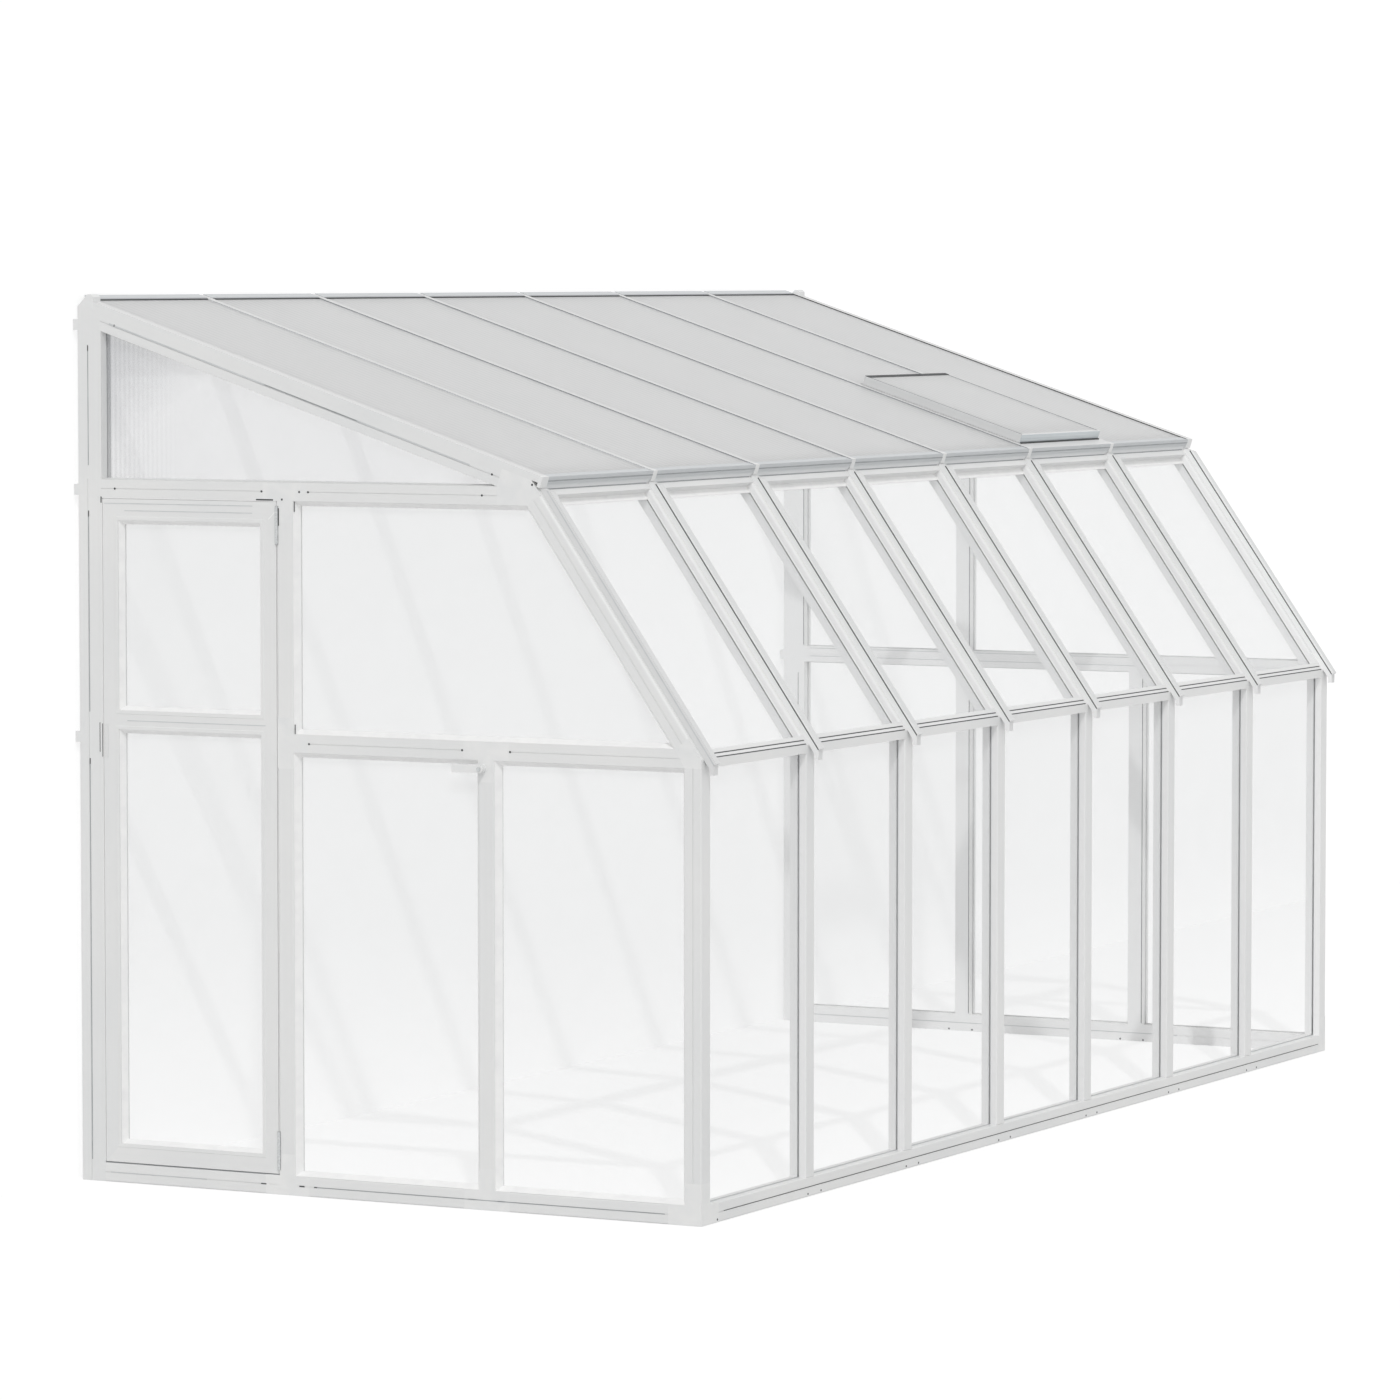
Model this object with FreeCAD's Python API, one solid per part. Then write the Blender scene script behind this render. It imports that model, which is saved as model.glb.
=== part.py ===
import FreeCAD, Part
import math
import os

os.makedirs("parts", exist_ok=True)
V = FreeCAD.Vector

# Bay grid of the long front and of the two end walls
bayPitch = 620.0
bayCount = 7
endPitch = 628.0
doorOpening = 566.0
wallPostWide = 76.0

# Hollow resin bars
barFace = 50.0
barDeep = 50.0
barWall = 3.0
faceGroove = 2.5
faceGrooveDeep = 1.5
sillHigh = 54.0

# Side view of the shell: upright front, slanted glazing, roof
kneeHigh = 1243.0
slantAngle = 55.0
eaveReach = 512.0
roofAngle = 18.1
midRailDrop = 24.0
topBeamDrop = 68.0
railLeg = 28.0
railGroovesUp = (1.0, 13.0)
eaveLegDown = 50.0
eaveLegUp = 40.0
eaveGrooveUp = 18.0
edgeRound = 4.0
slantRound = 8.0
wallGrooveBack = 31.0

# Clear panes held in side grooves, twin wall roof sheets laid on the rafters
paneThick = 4.0
paneBack = 22.0
paneSeat = 12.0
paneGap = 2.0
sheetThick = 16.0
sheetSkin = 1.5
flutePitch = 32.0
coverWide = 24.0
coverHigh = 19.0
eaveHang = 30.0
ridgeStripHigh = 5.0
ridgeStripWide = 30.0
trimThick = 2.0
capLong = 10.0
capDrop = 12.0
wallCapLong = 52.0
wallCapRise = 24.0
wallCapCut = 33.0
wallCapEdge = 8.0

# Moulded joint pieces
teeReach = 45.0
teeStem = 59.0
teeSlotFrom = 8.0
teeSlotLong = 25.0
teeSlotHigh = 4.0
footReach = 50.0
padThick = 15.0
padHigh = 30.0
padRise = 6.0
padTopDrop = 75.0
fixHole = 4.5
fixBack = 38.0
wallFixAt = (600.0, 1600.0)
anchorAt = (340.0, 960.0)

# Slanted bar cover: a tongue in the bar, a slit along each side, a nose with a drip lip past the knee
beadWide = 24.0
beadDeep = 8.0
beadProud = 25.0
beadFoot = 6.0
beadSlit = 3.5
beadSlitUp = 14.8
beadSlitDeep = 1.5
beadNose = 30.0
beadGap = 1.0
lipThick = 13.0
lipDrop = 17.0

# Door leaf
doorGap = 3.0
leafThick = 40.0
leafStile = 50.0
leafTop = 58.0
leafBottom = 52.0
leafMidUp = 46.0
leafMidTall = 52.0
hingeTall = 104.0
hingeIn = 12.0
hingePlate = 1.3
hingePlateWide = 30.0
knuckle = 5.0
pinRadius = 3.0
notchClear = 0.6
runClear = 0.05
faceClear = 0.4

# Door latch
latchDrop = 29.0
latchTall = 80.0
latchInset = 2.0
latchWide = 30.0
boltTall = 16.0
boltThick = 8.0
boltBack = 2.0
boltLong = 31.0
boltTravel = 16.0
boltClear = 0.4
knobIn = 9.0
knobRadius = 4.0
knobProud = 8.0
slotPlay = 1.0
plateWide = 12.0
plateThick = 1.5
plateDrop = 6.0
plateTall = 95.0
keeperTrim = 4.0

# Turn catch on the end mullion
catchDrop = 23.0
catchInset = 2.0
catchBoss = 12.0
catchBossTall = 12.0
catchThick = 10.0
catchTall = 21.0
catchReach = 84.0
catchHead = 2.0
screwRadius = 3.0

# Roof vent: a sash over a raised curb, hinged at its upper edge
ventBayIndex = 5
ventFrom = 20.0
ventTop = 590.0
ventSide = 2.0
ventSeal = 1.0
ventThick = 26.0
ventRail = 36.0
ventLow = 70.0
ventRim = 10.0
curbTop = 10.0
ventHingeSet = 60.0
hingeBack = 8.0
lugWide = 40.0
cheekWide = 8.0
lugRound = 7.0
stayIn = 20.0
stayDrop = 12.0
stayLugSet = 14.0
stayLugWide = 8.0
stayPinEnd = 3.0
stayWide = 16.0
stayThick = 5.0
stayLong = 400.0
stayHole = 2.0
stayHoleCount = 5

length = bayCount * bayPitch + barFace
doorPostAt = 2 * endPitch
doorFrom = doorPostAt + barFace
doorTo = doorFrom + doorOpening
depth = doorTo + wallPostWide
paneFront = paneBack + paneThick
catchProud = catchBossTall + catchThick + catchHead

slope = math.radians(slantAngle)
pitch = math.radians(roofAngle)
slantDir = (math.cos(slope), math.sin(slope))
slantIn = (math.sin(slope), -math.cos(slope))
roofDir = (math.cos(pitch), math.sin(pitch))
roofIn = (math.sin(pitch), -math.cos(pitch))
eaveHigh = kneeHigh + eaveReach * math.tan(slope)
midRailLow = kneeHigh - midRailDrop
midRailHigh = midRailLow + barFace
topBeamLow = eaveHigh - topBeamDrop
topBeamHigh = topBeamLow + barFace
latchLow = midRailLow - latchDrop
latchHigh = latchLow + latchTall
leafMidLow = midRailLow + leafMidUp
leafMidHigh = leafMidLow + leafMidTall
catchHigh = midRailLow - catchDrop
noseProud = beadNose * slantDir[0] + beadProud * slantIn[0]
xMid = (length - catchProud) / 2
yMid = (depth + padThick - noseProud) / 2


def move(point, way, amount):
    return (point[0] + way[0] * amount, point[1] + way[1] * amount)


knee = (0.0, kneeHigh)
eave = (eaveReach, eaveHigh)


def roofOuter(s):
    return (s, eave[1] + (s - eave[0]) * math.tan(pitch))


def roofInner(s):
    return (s, roofOuter(s)[1] - barDeep / math.cos(pitch))


def slantInnerAt(z):
    start = move(knee, slantIn, barDeep)
    return (start[0] + (z - start[1]) / math.tan(slope), z)


def roofInnerAt(z):
    return (eave[0] + (z - roofInner(eave[0])[1]) / math.tan(pitch), z)


def at(u, s, z):
    return V(u - xMid, s - yMid, z)


def slab(points, u0, u1):
    # A side view outline, given as distance from the front and height, carried from u0 to u1
    loop = [at(u0, s, z) for s, z in points]
    return Part.Face(Part.makePolygon(loop + loop[:1])).extrude(V(u1 - u0, 0, 0))


def rect(s0, s1, z0, z1):
    return [(s0, z0), (s1, z0), (s1, z1), (s0, z1)]


def block(u0, u1, s0, s1, z0, z1):
    return slab(rect(s0, s1, z0, z1), u0, u1)


def strip(a, b, inward, near, far, extra=0.0):
    # The band between two depths below the line from a to b
    run = math.hypot(b[0] - a[0], b[1] - a[1])
    way = ((b[0] - a[0]) / run, (b[1] - a[1]) / run)
    a = move(a, way, -extra)
    b = move(b, way, extra)
    return [move(a, inward, near), move(b, inward, near), move(b, inward, far), move(a, inward, far)]


def grown(points, amount):
    loop = [at(0, s, z) for s, z in points]
    wire = Part.makePolygon(loop + loop[:1]).makeOffset2D(amount, 2)
    corners = [v.Point for v in wire.OrderedVertexes]
    return [(p.y + yMid, p.z) for p in corners]


def cut(shape, tools):
    tools = [t for t in tools if t.BoundBox.intersect(shape.BoundBox)]
    if tools:
        shape = shape.cut(tools)
    solids = shape.Solids
    return solids[0] if len(solids) == 1 else Part.makeCompound(solids)


def rounded(shape, way, radius, test):
    # Rounds the long edges that run along way and pass the test
    edges = []
    for edge in shape.Edges:
        line = edge.Vertexes[-1].Point - edge.Vertexes[0].Point
        line.normalize()
        middle = edge.CenterOfMass
        if abs(line.dot(way)) > 0.999 and test(middle.x + xMid, middle.y + yMid, middle.z):
            edges.append(edge)
    return shape.makeFillet(radius, edges)


def cylinderX(radius, u0, u1, s, z):
    return Part.makeCylinder(radius, u1 - u0, at(u0, s, z), V(1, 0, 0))


def cylinderZ(radius, u, s, z0, z1):
    return Part.makeCylinder(radius, z1 - z0, at(u, s, z0), V(0, 0, 1))


def cylinderY(radius, u, s0, s1, z):
    return Part.makeCylinder(radius, s1 - s0, at(u, s0, z), V(0, 1, 0))


nodes = {}


def keep(name, shapes):
    solids = nodes.setdefault(name, [])
    for shape in shapes:
        solids.extend(shape.Solids)


def chambers(a, b, inward, u0, u1):
    # Two long hollows of a bar whose depth is in the side view
    out = []
    for near, far in ((barWall, paneBack - barWall), (paneFront + barWall, barDeep - barWall)):
        out.append(slab(strip(a, b, inward, near, far, barFace), u0 + barWall, u1 - barWall))
    return out


def side(points, near, far, right):
    # An end wall piece between two depths behind the outer face
    if right:
        return slab(points, length - far, length - near)
    return slab(points, near, far)


def endChambers(a, b, inward, wide, right):
    out = []
    for near, far in ((barWall, paneBack - barWall), (paneFront + barWall, barDeep - barWall)):
        out.append(side(strip(a, b, inward, barWall, wide - barWall, barFace), near, far, right))
    return out


def grooveLine(a, b, inward, offset):
    return strip(a, b, inward, offset - faceGroove / 2, offset + faceGroove / 2, barFace)


def endGroove(a, b, inward, offset, right):
    return side(grooveLine(a, b, inward, offset), 0, faceGrooveDeep, right)


def roomGroove(a, b, inward, offset, right):
    # The same groove on the face towards the room
    return side(grooveLine(a, b, inward, offset), barDeep - faceGrooveDeep, barDeep, right)


# Key corners of the side view
slantTopIn = slantInnerAt(topBeamLow)
slantTopOut = move(slantTopIn, slantIn, -barDeep)
rafterLowIn = roofInnerAt(topBeamHigh)
rafterLowOut = move(rafterLowIn, roofIn, -barDeep)
slantLowIn = slantInnerAt(midRailHigh)
slantLowOut = move(slantLowIn, slantIn, -barDeep)
railTopOut = move(knee, slantDir, railLeg)
railTopIn = move(railTopOut, slantIn, barDeep)
eaveDownOut = move(eave, slantDir, -eaveLegDown)
eaveDownIn = move(eaveDownOut, slantIn, barDeep)
eaveUpOut = move(eave, roofDir, eaveLegUp)
eaveUpIn = move(eaveUpOut, roofIn, barDeep)
bend = (slope - pitch) / 2
middleWay = (math.sin((slope + pitch) / 2), -math.cos((slope + pitch) / 2))
eaveIn = move(eave, middleWay, barDeep / math.cos(bend))
plateFront = depth - barDeep

# Panes and the grooves that hold them
pockets = []
frontPanes = []
slantPanes = []
for bay in range(bayCount):
    u0 = bay * bayPitch + barFace
    u1 = (bay + 1) * bayPitch
    for store, a, b, inward in (
        (frontPanes, (0, sillHigh), (0, midRailLow), (1, 0)),
        (slantPanes, railTopOut, eaveDownOut, slantIn),
    ):
        pockets.append(slab(strip(a, b, inward, paneBack, paneFront, paneSeat), u0 - paneSeat, u1 + paneSeat))
        seat = paneSeat - paneGap
        store.append(slab(strip(a, b, inward, paneBack, paneFront, seat), u0 - seat, u1 + seat))
keep("front_panes", frontPanes)
keep("slant_panes", slantPanes)

cornerBay = rect(barFace, endPitch, sillHigh, midRailLow)
middleBay = rect(endPitch + barFace, doorPostAt, sillHigh, midRailLow)
wallBayLow = rect(doorFrom, doorTo, sillHigh, midRailLow)
wallBayHigh = rect(doorFrom, doorTo, midRailHigh, topBeamLow)
upperBay = [slantLowIn, (doorPostAt, midRailHigh), (doorPostAt, topBeamLow), slantTopIn]
gable = [rafterLowIn, (doorTo, topBeamHigh), roofInner(doorTo)]
endBays = (
    ("left_panes", False, [cornerBay, middleBay, upperBay]),
    ("right_panes", True, [cornerBay, middleBay, wallBayLow, upperBay, wallBayHigh]),
    ("gable_sheets", False, [gable]),
    ("gable_sheets", True, [gable]),
)
for name, right, bays in endBays:
    made = []
    for outline in bays:
        pockets.append(side(grown(outline, paneSeat), paneBack, paneFront, right))
        made.append(side(grown(outline, paneSeat - paneGap), paneBack, paneFront, right))
    keep(name, made)

# Slanted bar covers with their noses, and the seats cut for their tongues
slantLong = math.hypot(eave[0] - knee[0], eave[1] - knee[1])


def beadTop(deep):
    # Where a line this deep in the slant ends, just under the roof caps
    short = (deep * math.cos(slope - pitch) - capDrop - beadGap) / math.sin(slope - pitch)
    return move(move(knee, slantDir, slantLong + short), slantIn, deep)


tongueLow = move(knee, slantDir, beadFoot)
tongue = [tongueLow, move(tongueLow, slantIn, beadDeep), beadTop(beadDeep), beadTop(0)]
noseLow = move(knee, slantDir, -beadNose)
lip = [move(noseLow, slantIn, -lipThick / slantIn[0]), (noseLow[0] - lipThick, noseLow[1] - lipDrop),
       (noseLow[0], noseLow[1] - lipDrop), noseLow]
beadOutline = tongue[:3] + [beadTop(-beadProud), move(noseLow, slantIn, -beadProud)] + lip
slitOutline = strip(noseLow, eave, slantIn, -beadSlitUp - beadSlit, -beadSlitUp, beadNose)
beads = []
beadSeats = []
for bar in range(bayCount + 1):
    u0 = bar * bayPitch + (barFace - beadWide) / 2
    u1 = u0 + beadWide
    slits = [slab(slitOutline, u0, u0 + beadSlitDeep), slab(slitOutline, u1 - beadSlitDeep, u1)]
    beads.append(cut(slab(beadOutline, u0, u1), slits))
    beadSeats.append(slab(tongue, u0, u1))
keep("slant_beads", beads)

# Long members
sillEnd = barFace + footReach
sill = block(sillEnd, length - sillEnd, 0, barDeep, 0, sillHigh)
sill = rounded(sill, V(1, 0, 0), edgeRound, lambda u, s, z: s < 1)
sillTools = [
    block(0, length, barWall, paneBack - barWall, barWall, sillHigh - barWall),
    block(0, length, paneFront + barWall, barDeep - barWall, barWall, sillHigh - barWall),
    block(0, length, -1, faceGrooveDeep, sillHigh / 2 - faceGroove / 2, sillHigh / 2 + faceGroove / 2),
]
keep("front_sill", [cut(sill, sillTools + pockets)])

rail = slab([(0, midRailLow), knee, railTopOut, railTopIn, (barDeep, midRailLow)], barFace, length - barFace)
railHollow = grown([(0, midRailLow), knee, railTopOut, railTopIn, (barDeep, midRailLow)], -paneSeat - barWall)
railGrooves = []
for bay in range(bayCount):
    for up in railGroovesUp:
        low = move(knee, slantDir, up)
        high = move(low, slantDir, faceGroove)
        outline = strip(low, high, slantIn, -1, faceGrooveDeep)
        railGrooves.append(slab(outline, bay * bayPitch + barFace, (bay + 1) * bayPitch))
keep("front_rail", [cut(rail, [slab(railHollow, 0, length)] + railGrooves + pockets + beadSeats)])

eaveSection = [eaveDownOut, eave, eaveUpOut, eaveUpIn, eaveIn, eaveDownIn]
beam = slab(eaveSection, barFace, length - barFace)
eaveHollow = grown(eaveSection, -paneSeat - barWall)
grooveLow = move(eaveDownOut, slantDir, eaveGrooveUp)
grooveHigh = move(grooveLow, slantDir, faceGroove)
eaveGroove = slab(strip(grooveLow, grooveHigh, slantIn, -1, faceGrooveDeep), 0, length)
keep("eave_beam", [cut(beam, [slab(eaveHollow, 0, length), eaveGroove] + pockets + beadSeats)])

wallPlate = slab(
    [roofInner(plateFront), roofOuter(plateFront), roofOuter(depth), (depth, roofInner(plateFront)[1])],
    barFace, length - barFace)
plateHollow = rect(plateFront + barWall, depth - barWall, roofInner(plateFront)[1] + barWall,
                   roofOuter(plateFront)[1] - barWall)
keep("wall_plate", [cut(wallPlate, [slab(plateHollow, 0, length)])])

# Upright front posts, slanted bars and rafters
posts = []
slants = []
rafters = []
for bar in range(bayCount + 1):
    u0 = bar * bayPitch
    u1 = u0 + barFace
    endBar = bar in (0, bayCount)
    low, high = (slantLowOut, slantTopOut) if endBar else (railTopOut, eaveDownOut)
    quad = [low, high, move(high, slantIn, barDeep), move(low, slantIn, barDeep)]
    piece = slab(quad, u0, u1)
    outerEdge = lambda u, s, z: u < u0 + 1 and s < slantInnerAt(z)[0] - barDeep / 2
    piece = rounded(piece, V(0, slantDir[0], slantDir[1]), slantRound, outerEdge)
    tools = chambers(low, high, slantIn, u0, u1)[1:]
    if endBar:
        line = strip(low, high, slantIn, barDeep / 2 - faceGroove / 2, barDeep / 2 + faceGroove / 2, barFace)
        tools.append(side(line, 0, faceGrooveDeep, bar > 0))
    slants.append(cut(piece, tools + pockets + beadSeats))

    start = rafterLowOut if endBar else eaveUpOut
    stop = doorTo if endBar else plateFront
    quad = [start, roofOuter(stop), roofInner(stop), move(start, roofIn, barDeep)]
    tools = chambers(start, roofOuter(stop), roofIn, u0, u1)
    if endBar:
        line = strip(start, roofOuter(stop), roofIn, barDeep / 2 - faceGroove / 2,
                     barDeep / 2 + faceGroove / 2, barFace)
        tools.append(side(line, 0, faceGrooveDeep, bar > 0))
    rafters.append(cut(slab(quad, u0, u1), tools + pockets))

    if not endBar:
        piece = block(u0, u1, 0, barDeep, sillHigh, midRailLow)
        piece = rounded(piece, V(0, 0, 1), edgeRound, lambda u, s, z: s < 1)
        posts.append(cut(piece, chambers((0, sillHigh), (0, midRailLow), (1, 0), u0, u1) + pockets))
keep("front_posts", posts)
keep("slant_bars", slants)
keep("roof_rafters", rafters)

# End walls
teePosts = (endPitch, doorPostAt)
for right, word in ((False, "left"), (True, "right")):
    inner = length - barFace if right else 0.0
    outerU = lambda u: (length - u) if right else u

    corner = block(inner, inner + barFace, 0, barDeep, sillHigh + teeStem, midRailLow)
    corner = rounded(corner, V(0, 0, 1), edgeRound, lambda u, s, z: s < 1 and outerU(u) < 1)
    hollow = block(inner + paneFront + barWall if not right else inner + barWall,
                   inner + barFace - barWall if not right else inner + barFace - paneFront - barWall,
                   paneFront + barWall, barDeep - barWall, 0, kneeHigh)
    groove = endGroove((0, sillHigh), (0, midRailLow), (1, 0), barDeep / 2, right)
    keep("corner_posts", [cut(corner, [hollow, groove] + pockets)])

    foot = block(inner, inner + barFace, 0, sillEnd, 0, sillHigh)
    toe = block(inner - footReach, inner + barFace, 0, barDeep, 0, sillHigh)
    if not right:
        toe = block(0, sillEnd, 0, barDeep, 0, sillHigh)
    stub = block(inner, inner + barFace, 0, barDeep, sillHigh, sillHigh + teeStem)
    keep("base_corners", [cut(foot.fuse([toe, stub]).removeSplitter(), pockets)])

    kneeShape = [(0, midRailLow), knee, slantLowOut, slantLowIn, (barDeep, midRailLow)]
    keep("knees", [cut(side(kneeShape, 0, barDeep, right), pockets + beadSeats)])
    elbowShape = [slantTopOut, eave, rafterLowOut, rafterLowIn, (rafterLowIn[0], topBeamLow), slantTopIn]
    keep("elbows", [cut(side(elbowShape, 0, barDeep, right), pockets + beadSeats)])

    wallPost = side([(doorTo, 0), (depth, 0), roofOuter(depth), roofOuter(doorTo)], 0, barDeep, right)
    hollow = rect(doorTo + paneSeat + barWall, depth - barWall, 0, roofOuter(depth)[1])
    tools = [
        side(hollow, barWall, barDeep - barWall, right),
        endGroove((depth, 0), (depth, topBeamLow), (-1, 0), wallGrooveBack, right),
    ]
    tools += [cylinderY(fixHole, outerU(fixBack), doorTo - 1, depth + 1, z) for z in wallFixAt]
    padLow = (midRailLow + padRise, topBeamLow + padRise, roofOuter(depth)[1] - padTopDrop)
    pads = [side(rect(depth, depth + padThick, low, low + padHigh), 0, barDeep, right) for low in padLow]
    keep("wall_posts", [cut(wallPost, tools + pockets)])
    keep("wall_pads", pads)

    tees = []
    for post in teePosts:
        bar = rect(post - teeReach, post + barFace + teeReach, 0, sillHigh)
        stem = rect(post, post + barFace, sillHigh, sillHigh + teeStem)
        tee = side(bar, 0, barDeep, right).fuse(side(stem, 0, barDeep, right)).removeSplitter()
        slots = []
        for s0 in (post - teeSlotFrom - teeSlotLong, post + barFace + teeSlotFrom):
            slot = rect(s0, s0 + teeSlotLong, (sillHigh - teeSlotHigh) / 2, (sillHigh + teeSlotHigh) / 2)
            slots.append(side(slot, 0, faceGrooveDeep, right))
        tees.append(cut(tee, slots))
    bar = rect(endPitch - teeReach, endPitch + barFace + teeReach, midRailLow, midRailHigh)
    stem = rect(endPitch, endPitch + barFace, midRailLow - teeStem, midRailLow)
    tees.append(side(bar, 0, barDeep, right).fuse(side(stem, 0, barDeep, right)).removeSplitter())
    crossTo = doorFrom + teeReach if right else doorFrom
    bar = rect(doorPostAt - teeReach, crossTo, midRailLow, midRailHigh)
    stem = rect(doorPostAt, doorFrom, midRailLow - teeReach, midRailHigh + teeReach)
    tees.append(side(bar, 0, barDeep, right).fuse(side(stem, 0, barDeep, right)).removeSplitter())
    bar = rect(doorPostAt - teeReach, doorFrom + teeReach, topBeamLow, topBeamHigh)
    stem = rect(doorPostAt, doorFrom, topBeamLow - teeStem, topBeamLow)
    tees.append(side(bar, 0, barDeep, right).fuse(side(stem, 0, barDeep, right)).removeSplitter())

    sills = []
    edges = [sillEnd]
    for post in teePosts:
        edges.extend([post - teeReach, post + barFace + teeReach])
    edges.append(doorTo)
    anchors = [cylinderZ(fixHole, outerU(fixBack), s, -1, sillHigh + 1) for s in anchorAt]
    for s0, s1 in zip(edges[0::2], edges[1::2]):
        piece = side(rect(s0, s1, 0, sillHigh), 0, barDeep, right)
        piece = rounded(piece, V(0, 1, 0), edgeRound, lambda u, s, z: outerU(u) < 1)
        tools = endChambers((s0, 0), (s1, 0), (0, 1), sillHigh, right)
        tools.append(endGroove((s0, 0), (s1, 0), (0, 1), sillHigh / 2, right))
        tools.append(roomGroove((s0, 0), (s1, 0), (0, 1), sillHigh / 2, right))
        sills.append(cut(piece, tools + anchors + pockets))
    keep(word + "_sill", sills)

    rails = []
    spans = [(slantLowIn[0], endPitch - teeReach), (endPitch + barFace + teeReach, doorPostAt - teeReach)]
    if right:
        spans.append((crossTo, doorTo))
    for index, (s0, s1) in enumerate(spans):
        outline = rect(s0, s1, midRailLow, midRailHigh)
        if index == 0:
            outline[0] = (barDeep, midRailLow)
        tools = endChambers((s0, midRailLow), (s1, midRailLow), (0, 1), barFace, right)
        tools.append(endGroove((s0, midRailLow), (s1, midRailLow), (0, 1), barFace / 2, right))
        tools.append(roomGroove((s0, midRailLow), (s1, midRailLow), (0, 1), barFace / 2, right))
        rails.append(cut(side(outline, 0, barDeep, right), tools + pockets))
    keep(word + "_mid_rail", rails)

    beams = []
    for s0, s1 in ((rafterLowIn[0], doorPostAt - teeReach), (doorFrom + teeReach, doorTo)):
        tools = endChambers((s0, topBeamLow), (s1, topBeamLow), (0, 1), barFace, right)
        tools.append(endGroove((s0, topBeamLow), (s1, topBeamLow), (0, 1), barFace / 2, right))
        beams.append(cut(side(rect(s0, s1, topBeamLow, topBeamHigh), 0, barDeep, right), tools + pockets))
    keep("top_beams", beams)

    outline = rect(endPitch, endPitch + barFace, sillHigh + teeStem, midRailLow - teeStem)
    mullion = side(outline, 0, barDeep, right)
    mullion = rounded(mullion, V(0, 0, 1), edgeRound, lambda u, s, z: outerU(u) < 1)
    tools = endChambers((endPitch, sillHigh), (endPitch, midRailLow), (1, 0), barFace, right)
    keep("end_mullions", [cut(mullion, tools + pockets)])

    tall = []
    tallTools = endChambers((doorPostAt, sillHigh), (doorPostAt, topBeamLow), (1, 0), barFace, right)
    lowTall = (sillHigh + teeStem, midRailLow - teeReach)
    highTall = (midRailHigh + teeReach, topBeamLow - teeStem)
    for z0, z1 in (lowTall, highTall):
        piece = side(rect(doorPostAt, doorFrom, z0, z1), 0, barDeep, right)
        piece = rounded(piece, V(0, 0, 1), edgeRound, lambda u, s, z: outerU(u) < 1)
        tall.append(cut(piece, tallTools + pockets))
    keep("right_end_post" if right else "door_post", tall)
    keep(word + "_tees", [cut(tee, pockets) for tee in tees])

# Roof skin: sheets between cover strips, eave trims, ridge strips and end caps
roofStart = move(eave, roofDir, -eaveHang)
roofStop = roofOuter(depth)
roofUp = (-roofIn[0], -roofIn[1])
roofRun = (depth - eaveReach) / roofDir[0]


def onRoof(along, up):
    return move(move(eave, roofDir, along), roofUp, up)


def roofBox(u0, u1, along0, along1, up0, up1):
    return slab([onRoof(along0, up0), onRoof(along1, up0), onRoof(along1, up1), onRoof(along0, up1)], u0, u1)


def flutedSheet(u0, u1, along0, along1, up0):
    # Two skins joined by ribs that run down the slope
    def loop(a0, a1, b0, b1):
        corners = [(a0, b0), (a1, b0), (a1, b1), (a0, b1), (a0, b0)]
        return Part.makePolygon([at(a, *onRoof(along0, up0 + b)) for a, b in corners])

    count = round((u1 - u0) / flutePitch)
    step = (u1 - u0) / count
    wires = [loop(u0, u1, 0, sheetThick)]
    for flute in range(count):
        a0 = u0 + flute * step + sheetSkin / 2
        wires.append(loop(a0, a0 + step - sheetSkin, sheetSkin, sheetThick - sheetSkin))
    face = Part.makeFace(wires, "Part::FaceMakerBullseye")
    run = along1 - along0
    return face.extrude(V(0, roofDir[0] * run, roofDir[1] * run))


def squareEnd(a, high):
    # Roof piece from a to the wall with an upright end at the wall
    lift = high / math.cos(pitch)
    return [a, roofStop, (depth, roofStop[1] + lift), move(a, roofUp, high)]


sheets = []
trims = []
flashings = []
ridge = []
flashing = [onRoof(-eaveHang, 0), grooveHigh, move(grooveHigh, slantDir, trimThick),
            onRoof(trimThick - eaveHang, 0)]
for bay in range(bayCount):
    u0 = bay * bayPitch + barFace / 2 + coverWide / 2
    u1 = u0 + bayPitch - coverWide
    start = ventTop + 2 * hingeBack if bay == ventBayIndex else trimThick - eaveHang
    sheets.append(flutedSheet(u0, u1, start, roofRun, 0))
    trims.append(slab(strip(roofStart, move(roofStart, roofDir, trimThick), roofUp, 0, coverHigh), u0, u1))
    flashings.append(slab(flashing, u0 + beadGap, u1 - beadGap))
    low = move((depth, roofStop[1] + sheetThick / math.cos(pitch)), roofDir, -ridgeStripWide)
    high = (depth, roofStop[1] + sheetThick / math.cos(pitch))
    outline = [low, high, move(high, (0, 1), ridgeStripHigh), move(low, (0, 1), ridgeStripHigh)]
    ridge.append(slab(outline, u0, u1))
keep("roof_sheets", sheets)
keep("eave_trims", trims + flashings)
keep("ridge_strips", ridge)

covers = []
caps = []
for bar in range(bayCount + 1):
    middle = bar * bayPitch + barFace / 2
    u0 = 0.0 if bar == 0 else middle - coverWide / 2
    u1 = length if bar == bayCount else middle + coverWide / 2
    covers.append(slab(squareEnd(move(roofStart, roofDir, capLong), coverHigh), u0, u1))
    capStop = move(roofStart, roofDir, capLong)
    caps.append(slab(strip(roofStart, capStop, roofUp, -capDrop, coverHigh), u0, u1))
keep("roof_covers", covers)
keep("eave_caps", caps)

# Roof vent
ventBayU = ventBayIndex * bayPitch
curbU0 = ventBayU + barFace / 2 + coverWide / 2
curbU1 = curbU0 + bayPitch - coverWide
ventU0 = curbU0 + ventSide
ventU1 = curbU1 - ventSide
crossFrom = ventTop - curbTop
crossTo = crossFrom + barFace

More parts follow.
